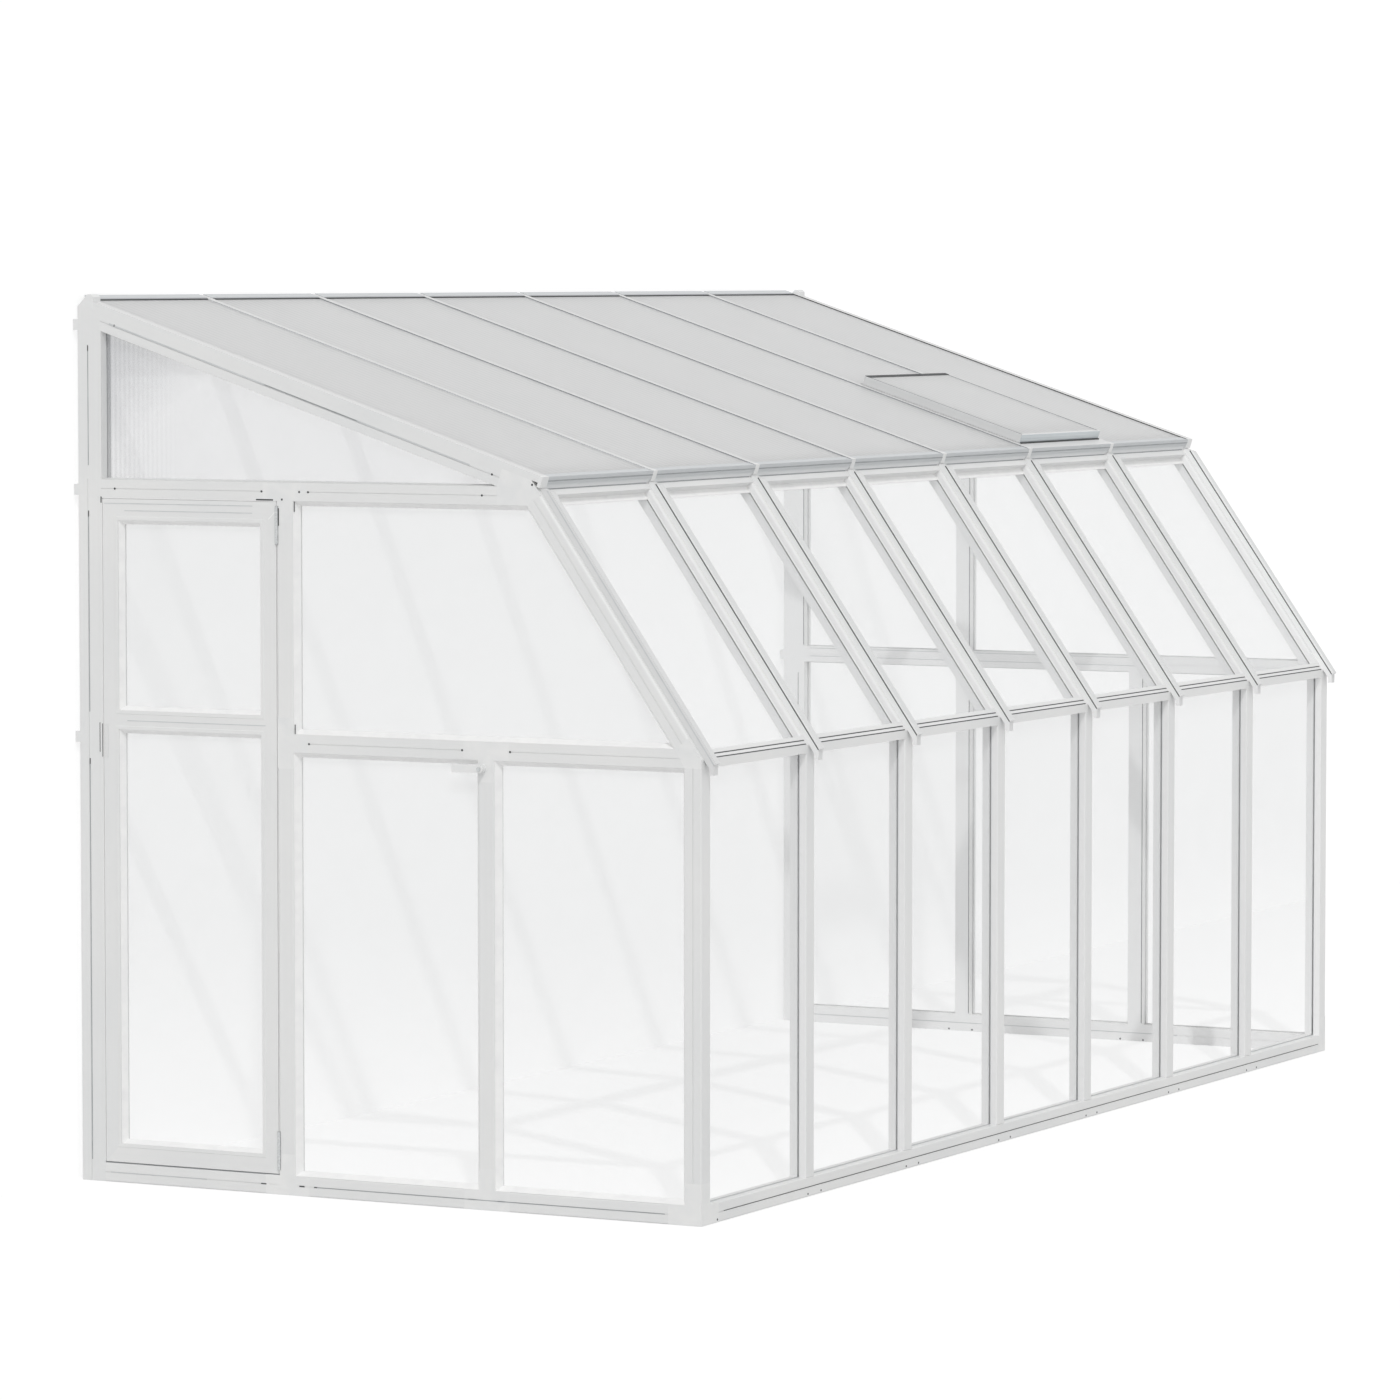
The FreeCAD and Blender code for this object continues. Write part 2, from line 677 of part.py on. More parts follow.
crossbar = roofBox(ventBayU + barFace, ventBayU + bayPitch, crossFrom, crossTo, -barDeep, 0)
crossHollow = roofBox(0, length, crossFrom + barWall, crossTo - barWall, barWall - barDeep, -barWall)
keep("vent_crossbar", [cut(crossbar, [crossHollow])])

curb = roofBox(curbU0, curbU1, trimThick - eaveHang, ventTop, 0, coverHigh)
curbHole = roofBox(ventBayU + barFace, ventBayU + bayPitch, eaveLegUp, crossFrom, -1, coverHigh + 1)
keep("vent_curb", [cut(curb, [curbHole])])

ventBase = coverHigh + ventSeal
ventRoof = ventBase + ventThick
hingeAlong = ventTop + hingeBack
hingeUp = ventBase + ventThick / 2
hingeAt = onRoof(hingeAlong, hingeUp)
sash = roofBox(ventU0, ventU1, ventFrom, ventTop, ventBase, ventRoof)
opening = roofBox(ventU0 + ventRail, ventU1 - ventRail, ventFrom + ventLow, ventTop - ventRail,
                  0, ventRoof + 1)
rebate = roofBox(ventU0 + ventRim, ventU1 - ventRim, ventFrom + ventRim, ventTop - ventRim,
                 ventRoof - sheetThick, ventRoof + 1)
sash = cut(sash, [opening, rebate])
lugs = []
cheeks = []
ventPins = []
for u0 in (ventU0 + ventHingeSet, ventU1 - ventHingeSet - lugWide):
    u1 = u0 + lugWide
    lug = cylinderX(lugRound, u0, u1, hingeAt[0], hingeAt[1])
    lug = lug.fuse(roofBox(u0, u1, ventTop, hingeAlong, hingeUp - lugRound, hingeUp + lugRound))
    lugs.append(lug.cut(cylinderX(pinRadius + runClear, u0 - 1, u1 + 1, hingeAt[0], hingeAt[1])))
    for c0 in (u0 - faceClear - cheekWide, u1 + faceClear):
        c1 = c0 + cheekWide
        cheek = cylinderX(lugRound, c0, c1, hingeAt[0], hingeAt[1])
        cheek = cheek.fuse(roofBox(c0, c1, hingeAlong - lugRound, hingeAlong + lugRound, 0, hingeUp))
        cheeks.append(cheek.cut(cylinderX(pinRadius, c0 - 1, c1 + 1, hingeAt[0], hingeAt[1])))
    pinEnds = (u0 - faceClear - cheekWide, u1 + faceClear + cheekWide)
    ventPins.append(cylinderX(pinRadius, pinEnds[0], pinEnds[1], hingeAt[0], hingeAt[1]))
keep("vent_sash", [sash.fuse(lugs).removeSplitter()])
keep("vent_hinge_cheeks", cheeks)
keep("hinge_pins", ventPins)
keep("vent_sheet", [flutedSheet(ventU0 + ventRim, ventU1 - ventRim, ventFrom + ventRim, ventTop - ventRim,
                                ventRoof - sheetThick)])
keep("vent_trim", [roofBox(ventU0, ventU1, ventFrom - trimThick, ventFrom, ventBase, ventRoof)])

lugU0 = (ventU0 + ventU1) / 2 - stayLugSet
lugU1 = lugU0 + stayLugWide
armU0 = lugU1 + faceClear
armU1 = armU0 + stayThick
stayAlong = ventFrom + ventLow - stayIn
stayUp = ventBase - stayDrop
stayAt = onRoof(stayAlong, stayUp)
stayEye = stayWide / 2
lug = roofBox(lugU0, lugU1, stayAlong - stayEye, stayAlong + stayEye, stayUp, ventBase)
lug = lug.fuse(cylinderX(stayEye, lugU0, lugU1, stayAt[0], stayAt[1]))
keep("vent_stay_lug", [lug.cut(cylinderX(pinRadius, 0, length, stayAt[0], stayAt[1]))])
keep("vent_stay_pin", [cylinderX(pinRadius, lugU0, armU1 + stayPinEnd, stayAt[0], stayAt[1])])
arm = roofBox(armU0, armU1, stayAlong, stayAlong + stayLong, stayUp - stayEye / 2, stayUp + stayEye / 2)
arm = arm.fuse(cylinderX(stayEye, armU0, armU1, stayAt[0], stayAt[1])).removeSplitter()
holes = [cylinderX(pinRadius + runClear, armU0 - 1, armU1 + 1, stayAt[0], stayAt[1])]
for step in range(1, stayHoleCount + 1):
    spot = onRoof(stayAlong + step * stayLong / (stayHoleCount + 1), stayUp)
    holes.append(cylinderX(stayHole, armU0 - 1, armU1 + 1, spot[0], spot[1]))
keep("vent_stay_arm", [cut(arm, holes)])

# Wall post top caps, the chamfered back corner running down into the post
capFrom = depth - wallCapLong
capTop = roofOuter(depth)[1] + wallCapRise
capShape = [roofOuter(capFrom), roofOuter(depth), (depth, capTop), (capFrom + wallCapEdge, capTop),
            (capFrom, capTop - wallCapEdge)]
corner = [(depth - wallCapCut, capTop), (depth, capTop), (depth, capTop - wallCapCut)]
for right in (False, True):
    chamfer = side(corner, 0, barFace, right)
    keep("wall_caps", [cut(side(capShape, 0, barFace / 2 + coverWide / 2, right), [chamfer])])
    nodes["wall_posts"][right] = cut(nodes["wall_posts"][right], [chamfer])
capRoom = block(-1, length + 1, capFrom, depth + 1, eave[1], eave[1] * 2)
for bar in (0, bayCount):
    nodes["roof_covers"][bar] = cut(nodes["roof_covers"][bar], [capRoom])

# Door leaf with mitred corners
leafS0 = doorFrom + doorGap
leafS1 = doorTo - doorGap
leafZ0 = sillHigh + doorGap
leafZ1 = topBeamLow - doorGap
inS0 = leafS0 + leafStile
inS1 = leafS1 - leafStile
inZ0 = leafZ0 + leafBottom
inZ1 = leafZ1 - leafTop
leafPaneBack = (leafThick - paneThick) / 2
lowerLight = rect(inS0, inS1, inZ0, leafMidLow)
upperLight = rect(inS0, inS1, leafMidHigh, inZ1)
leafPockets = []
leafPanes = []
for light in (lowerLight, upperLight):
    leafPockets.append(slab(grown(light, paneSeat), leafPaneBack, leafPaneBack + paneThick))
    leafPanes.append(slab(grown(light, paneSeat - paneGap), leafPaneBack, leafPaneBack + paneThick))
keep("door_panes", leafPanes)

hingeAxis = doorFrom + doorGap / 2
hingeZ = ((leafZ0 + hingeIn, leafZ0 + hingeIn + hingeTall), (leafZ1 - hingeIn - hingeTall, leafZ1 - hingeIn))
hingeNotches = [cylinderZ(knuckle + notchClear, 0, hingeAxis, z0 - 1, z1 + 1) for z0, z1 in hingeZ]
leafHollow = ((barWall, leafPaneBack - barWall), (leafPaneBack + paneThick + barWall, leafThick - barWall))


def leafBar(outline, a, b, inward, wide, extra):
    core = strip(a, b, inward, barWall, wide - barWall, -wide)
    hollow = [slab(core, near, far) for near, far in leafHollow]
    return cut(slab(outline, 0, leafThick), hollow + leafPockets + extra)


boltZ = (latchLow + latchHigh) / 2
lowS0, lowS1 = (leafS0, leafZ0), (leafS1, leafZ0)
highS0, highS1 = (leafS0, leafZ1), (leafS1, leafZ1)
inLow0, inLow1 = (inS0, inZ0), (inS1, inZ0)
inHigh0, inHigh1 = (inS0, inZ1), (inS1, inZ1)
hingeSide = [move(lowS0, (1, 0), knuckle), move(highS0, (1, 0), knuckle)]
keep("door_hinge_stile", [leafBar([lowS0, highS0, inHigh0, inLow0], *hingeSide, (1, 0),
                                  leafStile - knuckle - paneSeat, hingeNotches)])
keep("door_latch_stile", [leafBar([lowS1, highS1, inHigh1, inLow1], lowS1, highS1, (-1, 0),
                                  leafStile - paneSeat, [])])
keep("door_bottom_rail", [leafBar([lowS0, lowS1, inLow1, inLow0], lowS0, lowS1, (0, 1), leafBottom - paneSeat,
                                  hingeNotches)])
keep("door_top_rail", [leafBar([highS0, highS1, inHigh1, inHigh0], highS0, highS1, (0, -1),
                               leafTop - paneSeat, hingeNotches)])
keep("door_mid_rail", [cut(slab(rect(inS0, inS1, leafMidLow, leafMidHigh), 0, leafThick), leafPockets)])
nodes["door_post"] = [cut(piece, hingeNotches) for piece in nodes["door_post"]]
nodes["left_tees"] = [cut(piece, hingeNotches) for piece in nodes["left_tees"]]

frameLeaves = []
doorLeaves = []
doorPins = []
for z0, z1 in hingeZ:
    middle = (z0 + z1) / 2
    split = faceClear / 2
    fixed = cylinderZ(knuckle, 0, hingeAxis, z0, middle - split)
    fixed = fixed.fuse(block(0, hingePlateWide, doorFrom, doorFrom + hingePlate, z0, middle - split))
    frameLeaves.append(fixed.cut(cylinderZ(pinRadius, 0, hingeAxis, z0 - 1, z1)).removeSplitter())
    turning = cylinderZ(knuckle, 0, hingeAxis, middle + split, z1)
    turning = turning.fuse(block(0, hingePlateWide, leafS0 - hingePlate, leafS0, middle + split, z1))
    doorLeaves.append(turning.cut(cylinderZ(pinRadius + runClear, 0, hingeAxis, z0, z1 + 1)).removeSplitter())
    doorPins.append(cylinderZ(pinRadius, 0, hingeAxis, z0, z1))
keep("hinge_frame_leaves", frameLeaves)
keep("hinge_door_leaves", doorLeaves)
keep("hinge_pins", doorPins)

# Latch: case in the inner chamber of the stile, sliding bolt with a knob, keeper in the wall post, plate
caseU0, caseU1 = leafHollow[1]
caseS1 = leafS1 - barWall
caseS0 = caseS1 - latchWide
keeperS1 = doorTo + paneSeat + barWall
boltU0 = caseU0 + boltBack
boltU1 = boltU0 + boltThick
boltZ0 = boltZ - boltTall / 2
boltZ1 = boltZ + boltTall / 2
case = block(caseU0, caseU1, caseS0, caseS1, latchLow, latchHigh)
boltSlot = block(boltU0 - boltClear, boltU1 + boltClear, caseS0 - 1, keeperS1 + 1,
                 boltZ0 - boltClear, boltZ1 + boltClear)
knobS = caseS0 + knobIn
knobRoom = knobRadius + slotPlay
knobSlot = block(boltU0, leafThick + 1, knobS - knobRoom, knobS + boltTravel + knobRoom,
                 boltZ - knobRadius - boltClear, boltZ + knobRadius + boltClear)
keep("latch_case", [cut(case, [boltSlot, knobSlot])])
nodes["door_latch_stile"] = [cut(piece, [boltSlot, knobSlot]) for piece in nodes["door_latch_stile"]]
bolt = block(boltU0, boltU1, leafS1 - boltLong, leafS1, boltZ0, boltZ1)
knob = cylinderX(knobRadius, boltU0 + boltThick / 2, leafThick + knobProud, knobS, boltZ)
keep("latch_bolt", [bolt.fuse(knob).removeSplitter()])
keeper = block(boltU0 - keeperTrim, boltU1 + keeperTrim, doorTo, keeperS1,
               boltZ0 - keeperTrim, boltZ1 + keeperTrim)
keep("latch_keeper", [cut(keeper, [boltSlot])])
nodes["wall_posts"][0] = cut(nodes["wall_posts"][0], [keeper])
plateS1 = leafS1 - latchInset
plateZ0 = latchLow - plateDrop
keep("latch_plate", [block(-plateThick, 0, plateS1 - plateWide, plateS1, plateZ0, plateZ0 + plateTall)])

# Turn catch: boss screwed to the end mullion joint, lever turning on it
catchS = endPitch + barFace - catchBoss - catchInset
catchZ0 = catchHigh - catchTall / 2
catchZ1 = catchHigh + catchTall / 2
boss = cylinderX(catchBoss, -catchBossTall, 0, catchS, catchHigh)
keep("catch_boss", [boss.cut(cylinderX(screwRadius, -catchBossTall - 1, 1, catchS, catchHigh))])
leverU0 = -catchProud + catchHead + faceClear
leverU1 = -catchBossTall - faceClear
lever = block(leverU0, leverU1, catchS, catchS + catchReach, catchZ0, catchZ1)
lever = lever.fuse(cylinderX(catchTall / 2, leverU0, leverU1, catchS, catchHigh)).removeSplitter()
keep("catch_lever", [cut(lever, [cylinderX(screwRadius + runClear, -catchProud, 0, catchS, catchHigh)])])
screw = cylinderX(screwRadius, -catchProud, 0, catchS, catchHigh)
head = cylinderX(catchBoss / 2, -catchProud, catchHead - catchProud, catchS, catchHigh)
keep("catch_screw", [screw.fuse(head)])

for name, solids in nodes.items():
    shape = solids[0] if len(solids) == 1 else Part.makeCompound(solids)
    shape.exportStep("parts/" + name + ".step")
    print(name, len(solids), round(sum(s.Volume for s in solids) / 1000.0), all(s.isValid() for s in solids))
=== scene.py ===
import math
import bmesh
import bpy
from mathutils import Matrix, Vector


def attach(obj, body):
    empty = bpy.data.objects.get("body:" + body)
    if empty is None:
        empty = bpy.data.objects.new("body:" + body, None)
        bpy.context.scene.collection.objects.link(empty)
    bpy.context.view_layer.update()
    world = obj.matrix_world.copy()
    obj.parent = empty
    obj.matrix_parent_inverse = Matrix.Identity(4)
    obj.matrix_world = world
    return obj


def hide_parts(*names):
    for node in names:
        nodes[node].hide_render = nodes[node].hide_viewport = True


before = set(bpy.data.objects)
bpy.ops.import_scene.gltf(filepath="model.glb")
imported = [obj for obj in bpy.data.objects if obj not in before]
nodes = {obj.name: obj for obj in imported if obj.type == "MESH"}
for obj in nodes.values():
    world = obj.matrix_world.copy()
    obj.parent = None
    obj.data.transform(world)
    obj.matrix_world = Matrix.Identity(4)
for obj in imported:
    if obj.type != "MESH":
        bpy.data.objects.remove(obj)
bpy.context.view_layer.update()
scene = bpy.context.scene
print("stage: frame loaded,", len(nodes), "nodes")

# The shell in mm: u along the length from the door end, s back from the front, z up
shell = {
    "midU": 2183.0, "midS": 962.657, "length": 4390.0, "bays": 7, "bay": 620.0, "bar": 50.0,
    "sill": 54.0, "knee": 1243.0, "railLow": 1219.0, "railHigh": 1269.0, "slant": math.radians(55.0),
    "reach": 512.0, "roof": math.radians(18.1), "topDrop": 68.0, "depth": 1948.0,
    "mullion": 628.0, "doorPost": 1256.0, "doorFrom": 1306.0, "doorTo": 1872.0,
    "paneOut": 22.0, "cover": 24.0, "coverHigh": 19.0, "sheet": 16.0, "hang": 30.0,
    "ventBay": 5, "ventFrom": 20.0, "ventTop": 590.0, "ventHigh": 46.0, "ventSide": 2.0, "ventRim": 10.0,
    "ventBack": 16.0,
}
eaveHigh = shell["knee"] + shell["reach"] * math.tan(shell["slant"])
topLow = eaveHigh - shell["topDrop"]
slantLong = shell["reach"] / math.cos(shell["slant"])
roofLong = (shell["depth"] - shell["reach"]) / math.cos(shell["roof"])
acrossU = Vector((1, 0, 0))
acrossS = Vector((0, 1, 0))
upright = Vector((0, 0, 1))
slantAlong = Vector((0, math.cos(shell["slant"]), math.sin(shell["slant"])))
slantOut = Vector((0, -math.sin(shell["slant"]), math.cos(shell["slant"])))
roofAlong = Vector((0, math.cos(shell["roof"]), math.sin(shell["roof"])))
roofUp = Vector((0, -math.sin(shell["roof"]), math.cos(shell["roof"])))


def row(u, s, z):
    return Vector(((u - shell["midU"]) / 1000, (s - shell["midS"]) / 1000, z / 1000))


def onSlant(u, along, deep):  # up the slanted glazing from the knee, and in from its outer face
    c, d = math.cos(shell["slant"]), math.sin(shell["slant"])
    return row(u, along * c + deep * d, shell["knee"] + along * d - deep * c)


def onRoof(u, along, up):  # up the roof from the eave, and above the rafters
    c, d = math.cos(shell["roof"]), math.sin(shell["roof"])
    return row(u, shell["reach"] + along * c - up * d, eaveHigh + along * d + up * c)


def betweenBars(bay):
    return bay * shell["bay"] + shell["bar"], (bay + 1) * shell["bay"]


def coverEdges(bay):
    start = bay * shell["bay"] + (shell["bar"] - shell["cover"]) / 2
    return start, start + shell["cover"]


def betweenCovers(bay, clear=0.0):
    start = bay * shell["bay"] + (shell["bar"] + shell["cover"]) / 2
    return start + clear, start + shell["bay"] - shell["cover"] - clear


def linear(code):  # sRGB hex to linear
    out = []
    for i in (1, 3, 5):
        v = int(code[i:i + 2], 16) / 255
        out.append(v / 12.92 if v <= 0.04045 else ((v + 0.055) / 1.055) ** 2.4)
    return (*out, 1.0)


def addNode(tree, kind, settings=None, links=None):
    made = tree.nodes.new("ShaderNode" + kind)
    for key, value in (settings or {}).items():
        if key == "stops":
            while len(made.color_ramp.elements) < len(value):
                made.color_ramp.elements.new(0.5)
            for element, (place, colour) in zip(made.color_ramp.elements, value):
                element.position = place
                element.color = colour
        elif key in ("From", "To"):
            made.inputs[key + " Min"].default_value, made.inputs[key + " Max"].default_value = value
        elif isinstance(key, int) or key in made.inputs:
            made.inputs[key].default_value = value
        else:
            setattr(made, key, value)
    for key, source in (links or {}).items():
        tree.links.new(source, made.inputs[key])
    return made


def toneStops(look, ends):  # from the dark tone to the light one between two levels of a pattern
    return [(ends[0], linear(look["dark"])), (ends[1], linear(look["light"]))]


def newMaterial(name):
    made = bpy.data.materials.new(name)
    made.use_nodes = True
    made.node_tree.nodes.clear()
    return made, made.node_tree


def dress(material, *names):
    for name in names:
        mesh = nodes[name].data
        mesh.materials.clear()
        mesh.materials.append(material)


# Extruded white uPVC: a satin skin with fine die lines along the bar and a slow drift of tone
# Its dust colour is painted shade on faces that look up
resinLook = {"light": "#E9E9E8", "dark": "#E2E3E3", "between": (0.4, 0.9), "rough": (0.34, 0.46),
             "dieLine": 5.0, "dieLong": 1250.0, "lineShare": 0.3, "drift": 420.0, "dust": "#D9D9D9",
             "lying": (0.75, 0.93), "turned": (-0.6, -0.95), "outerFace": (-2.165, -2.140),
             "farWall": (2.10, 2.14)}
paintedLightTone = {"light": "#FCFCFC", "dark": "#F1F1F1"}  # painted light for inside faces turned to the door end, whitest at the plain end
ventShadeTone = {"light": "#DCDDDD", "dark": "#D5D6D6"}  # painted shade: a greyer copy of the bar resin on the vent sash
coverShadeTone = {"light": "#DFDFDF", "dark": "#D8D9D9"}  # painted shade: a greyer copy of the bar resin on the covers


def paintedLightInside(tree, spot, shade):  # painted light: inside faces turned to the door end are painted whiter, whitest at the plain end
    facing = addNode(tree, "SeparateXYZ", {}, {"Vector": spot.outputs["Normal"]})
    place = addNode(tree, "SeparateXYZ", {}, {"Vector": spot.outputs["Object"]})
    turned = addNode(tree, "MapRange", {"From": resinLook["turned"]}, {"Value": facing.outputs["X"]})
    inside = addNode(tree, "MapRange", {"From": resinLook["outerFace"]}, {"Value": place.outputs["X"]})
    both = addNode(tree, "Math", {"operation": "MULTIPLY"},
                   {0: turned.outputs["Result"], 1: inside.outputs["Result"]})
    far = addNode(tree, "MapRange", {"From": resinLook["farWall"]}, {"Value": place.outputs["X"]})
    lighter = addNode(tree, "ValToRGB", {"stops": toneStops(paintedLightTone, (0.0, 1.0))},
                    {"Fac": far.outputs["Result"]})
    return addNode(tree, "Mix", {"data_type": "RGBA"},
                   {0: both.outputs[0], 6: shade, 7: lighter.outputs["Color"]}).outputs[2]


def paintedTopShade(tree, spot, shade):  # painted shade: the faces that look up are painted greyer
    facing = addNode(tree, "SeparateXYZ", {}, {"Vector": spot.outputs["Normal"]})
    lying = addNode(tree, "MapRange", {"From": resinLook["lying"]}, {"Value": facing.outputs["Z"]})
    return addNode(tree, "Mix", {"data_type": "RGBA", 7: linear(resinLook["dust"])},
                   {0: lying.outputs["Result"], 6: shade}).outputs[2]


def extrudedResin(name, way, tone=resinLook, shadedTops=False):
    made, tree = newMaterial(name)
    turn = way.rotation_difference(acrossU).to_euler()
    fine = 1000 / resinLook["dieLine"]  # die lines are under 1 mm, drawn at 5 mm to show
    spot = addNode(tree, "TexCoord")
    turned = addNode(tree, "Mapping", {"Rotation": turn}, {"Vector": spot.outputs["Object"]})
    drawn = addNode(tree, "Mapping", {"Scale": (1000 / resinLook["dieLong"], fine, fine)},
                    {"Vector": turned.outputs["Vector"]})
    lines = addNode(tree, "TexNoise", {"Scale": 1.0, "Detail": 3.0, "Roughness": 0.6},
                    {"Vector": drawn.outputs["Vector"]})
    drift = addNode(tree, "TexNoise", {"Scale": 1000 / resinLook["drift"], "Detail": 2.0},
                    {"Vector": turned.outputs["Vector"]})
    both = addNode(tree, "Math", {"operation": "MULTIPLY_ADD", 1: resinLook["lineShare"]},
                   {0: lines.outputs["Fac"], 2: drift.outputs["Fac"]})
    colour = addNode(tree, "ValToRGB", {"stops": toneStops(tone, resinLook["between"])},
                     {"Fac": both.outputs[0]})
    # painted shade on the tops of roof parts, painted light on the inside faces of the others
    paintLightShade = paintedTopShade if shadedTops else paintedLightInside
    shade = paintLightShade(tree, spot, colour.outputs["Color"])
    rough = addNode(tree, "MapRange", {"To": resinLook["rough"]}, {"Value": lines.outputs["Fac"]})
    bump = addNode(tree, "Bump", {"Strength": 0.12, "Distance": 0.0006}, {"Height": lines.outputs["Fac"]})
    skin = addNode(tree, "BsdfPrincipled", {"IOR": 1.53, "Specular IOR Level": 0.5},
                   {"Base Color": shade, "Roughness": rough.outputs["Result"],
                    "Normal": bump.outputs["Normal"]})
    addNode(tree, "OutputMaterial", {}, {"Surface": skin.outputs["BSDF"]})
    return made


resinX = extrudedResin("extrudedResinLengthwise", acrossU)
resinY = extrudedResin("extrudedResinCrosswise", acrossS)
resinZ = extrudedResin("extrudedResinUpright", upright)
resinSlant = extrudedResin("extrudedResinSlanted", slantAlong)
resinRoof = extrudedResin("extrudedResinRoof", roofAlong, shadedTops=True)
coverSlant = extrudedResin("coverResinSlanted", slantAlong, coverShadeTone)
coverRoof = extrudedResin("coverResinRoof", roofAlong, coverShadeTone, shadedTops=True)
ventResin = extrudedResin("shadedResinVent", roofAlong, ventShadeTone, shadedTops=True)
dress(resinX, "front_sill", "front_rail", "eave_beam", "wall_plate", "vent_crossbar")
dress(resinY, "left_sill", "right_sill", "left_mid_rail", "right_mid_rail", "top_beams",
      "door_bottom_rail", "door_mid_rail", "door_top_rail")
dress(resinZ, "front_posts", "corner_posts", "end_mullions", "door_post", "right_end_post", "wall_posts",
      "door_hinge_stile", "door_latch_stile")
dress(resinSlant, "slant_bars")
dress(resinRoof, "roof_rafters", "roof_covers")
dress(ventResin, "vent_sash")
dress(coverSlant, "slant_beads")
dress(coverRoof, "vent_curb")

# Injection moulded white resin: a fine spark grain, a little flatter and whiter than the bars
mouldLook = {"light": "#ECECEB", "dark": "#E5E6E6", "between": (0.3, 0.7), "grain": 3.0, "flow": 71.43,
             "rough": (0.42, 0.55)}


def mouldedResin():
    made, tree = newMaterial("mouldedResin")
    spot = addNode(tree, "TexCoord")
    grain = addNode(tree, "TexNoise", {"Scale": 1000 / mouldLook["grain"], "Detail": 4.0, "Roughness": 0.7},
                    {"Vector": spot.outputs["Object"]})  # spark grain is about 0.3 mm, drawn at 3 mm to show
    flow = addNode(tree, "TexNoise", {"Scale": 1000 / mouldLook["flow"], "Detail": 2.0, "Distortion": 0.6},
                   {"Vector": spot.outputs["Object"]})
    colour = addNode(tree, "ValToRGB", {"stops": toneStops(mouldLook, mouldLook["between"])},
                     {"Fac": flow.outputs["Fac"]})
    rough = addNode(tree, "MapRange", {"To": mouldLook["rough"]}, {"Value": grain.outputs["Fac"]})
    bump = addNode(tree, "Bump", {"Strength": 0.18, "Distance": 0.0004}, {"Height": grain.outputs["Fac"]})
    # the inside faces get the same painted light as the bars
    skin = addNode(tree, "BsdfPrincipled", {"IOR": 1.5, "Specular IOR Level": 0.45},
                   {"Base Color": paintedLightInside(tree, spot, colour.outputs["Color"]),
                    "Roughness": rough.outputs["Result"], "Normal": bump.outputs["Normal"]})
    addNode(tree, "OutputMaterial", {}, {"Surface": skin.outputs["BSDF"]})
    return made


mouldedWhite = mouldedResin()
dress(mouldedWhite, "base_corners", "knees", "elbows", "left_tees", "right_tees", "eave_caps", "wall_caps",
      "wall_pads", "vent_hinge_cheeks", "catch_boss", "catch_lever")

# Clear cast acrylic: nearly all light passes, with a faint cool body, a soft wave and a film of dust
acrylicLook = {"body": "#D6D8D9", "veil": (0.185, 0.205), "thinEndVeil": (0.03, 0.04), "wave": 260.0,
               "dust": 90.0, "litFootHeights": (0.05, 0.75), "litFootVeil": (0.35, 1.0), "rough": (0.03, 0.09),
               "daylight": 0.99}


def castAcrylic(name, veilRange):
    made, tree = newMaterial(name)
    spot = addNode(tree, "TexCoord")
    wave = addNode(tree, "TexNoise", {"Scale": 1000 / acrylicLook["wave"], "Detail": 1.0},
                   {"Vector": spot.outputs["Object"]})
    dust = addNode(tree, "TexNoise", {"Scale": 1000 / acrylicLook["dust"], "Detail": 5.0, "Roughness": 0.65},
                   {"Vector": spot.outputs["Object"]})
    film = addNode(tree, "MapRange", {"To": veilRange}, {"Value": dust.outputs["Fac"]})
    place = addNode(tree, "SeparateXYZ", {}, {"Vector": spot.outputs["Object"]})
    height = addNode(tree, "MapRange", {"From": acrylicLook["litFootHeights"], "To": acrylicLook["litFootVeil"]},
                     {"Value": place.outputs["Z"]})  # painted light: the veil thins towards the foot of the panes, so they read lighter low down
    veil = addNode(tree, "Math", {"operation": "MULTIPLY"},
                   {0: film.outputs["Result"], 1: height.outputs["Result"]})
    rough = addNode(tree, "MapRange", {"To": acrylicLook["rough"]}, {"Value": dust.outputs["Fac"]})
    bump = addNode(tree, "Bump", {"Strength": 0.06, "Distance": 0.002}, {"Height": wave.outputs["Fac"]})
    skin = addNode(tree, "BsdfPrincipled", {"Base Color": linear(acrylicLook["body"]), "IOR": 1.49},
                   {"Roughness": rough.outputs["Result"], "Alpha": veil.outputs[0],
                    "Normal": bump.outputs["Normal"]})
    path = addNode(tree, "LightPath")  # lamps and sky light the inside through the panes
    lit = addNode(tree, "Math", {"operation": "MAXIMUM"},
                  {0: path.outputs["Is Shadow Ray"], 1: path.outputs["Is Diffuse Ray"]})
    clear = addNode(tree, "BsdfTransparent", {"Color": (*[acrylicLook["daylight"]] * 3, 1.0)})
    mix = addNode(tree, "MixShader", {},
                  {0: lit.outputs[0], 1: skin.outputs["BSDF"], 2: clear.outputs["BSDF"]})
    addNode(tree, "OutputMaterial", {}, {"Surface": mix.outputs["Shader"]})
    return made


clearPane = castAcrylic("castAcrylic", acrylicLook["veil"])
thinVeilPane = castAcrylic("castAcrylicThinVeil", acrylicLook["thinEndVeil"])  # painted light: a thinner veil on the plain end's panes, so the far end reads lighter through the front
dress(clearPane, "front_panes", "slant_panes", "left_panes", "door_panes")
dress(thinVeilPane, "right_panes")

# Opal twin wall polycarbonate: a milky skin that lets day through, soft darker lines over the ribs
opalLook = {"light": "#E1E1E1", "dark": "#D9DADA", "between": (0.25, 0.75), "pitch": 32.0, "through": 0.35,
            "cloud": 200.0, "cloudShare": 0.5}
waveLong = 2 * math.pi / 20 * 1000  # mm from band to band of a wave texture at scale 1
ribBands = {"wave_type": "BANDS", "wave_profile": "SIN", "Distortion": 0.0}


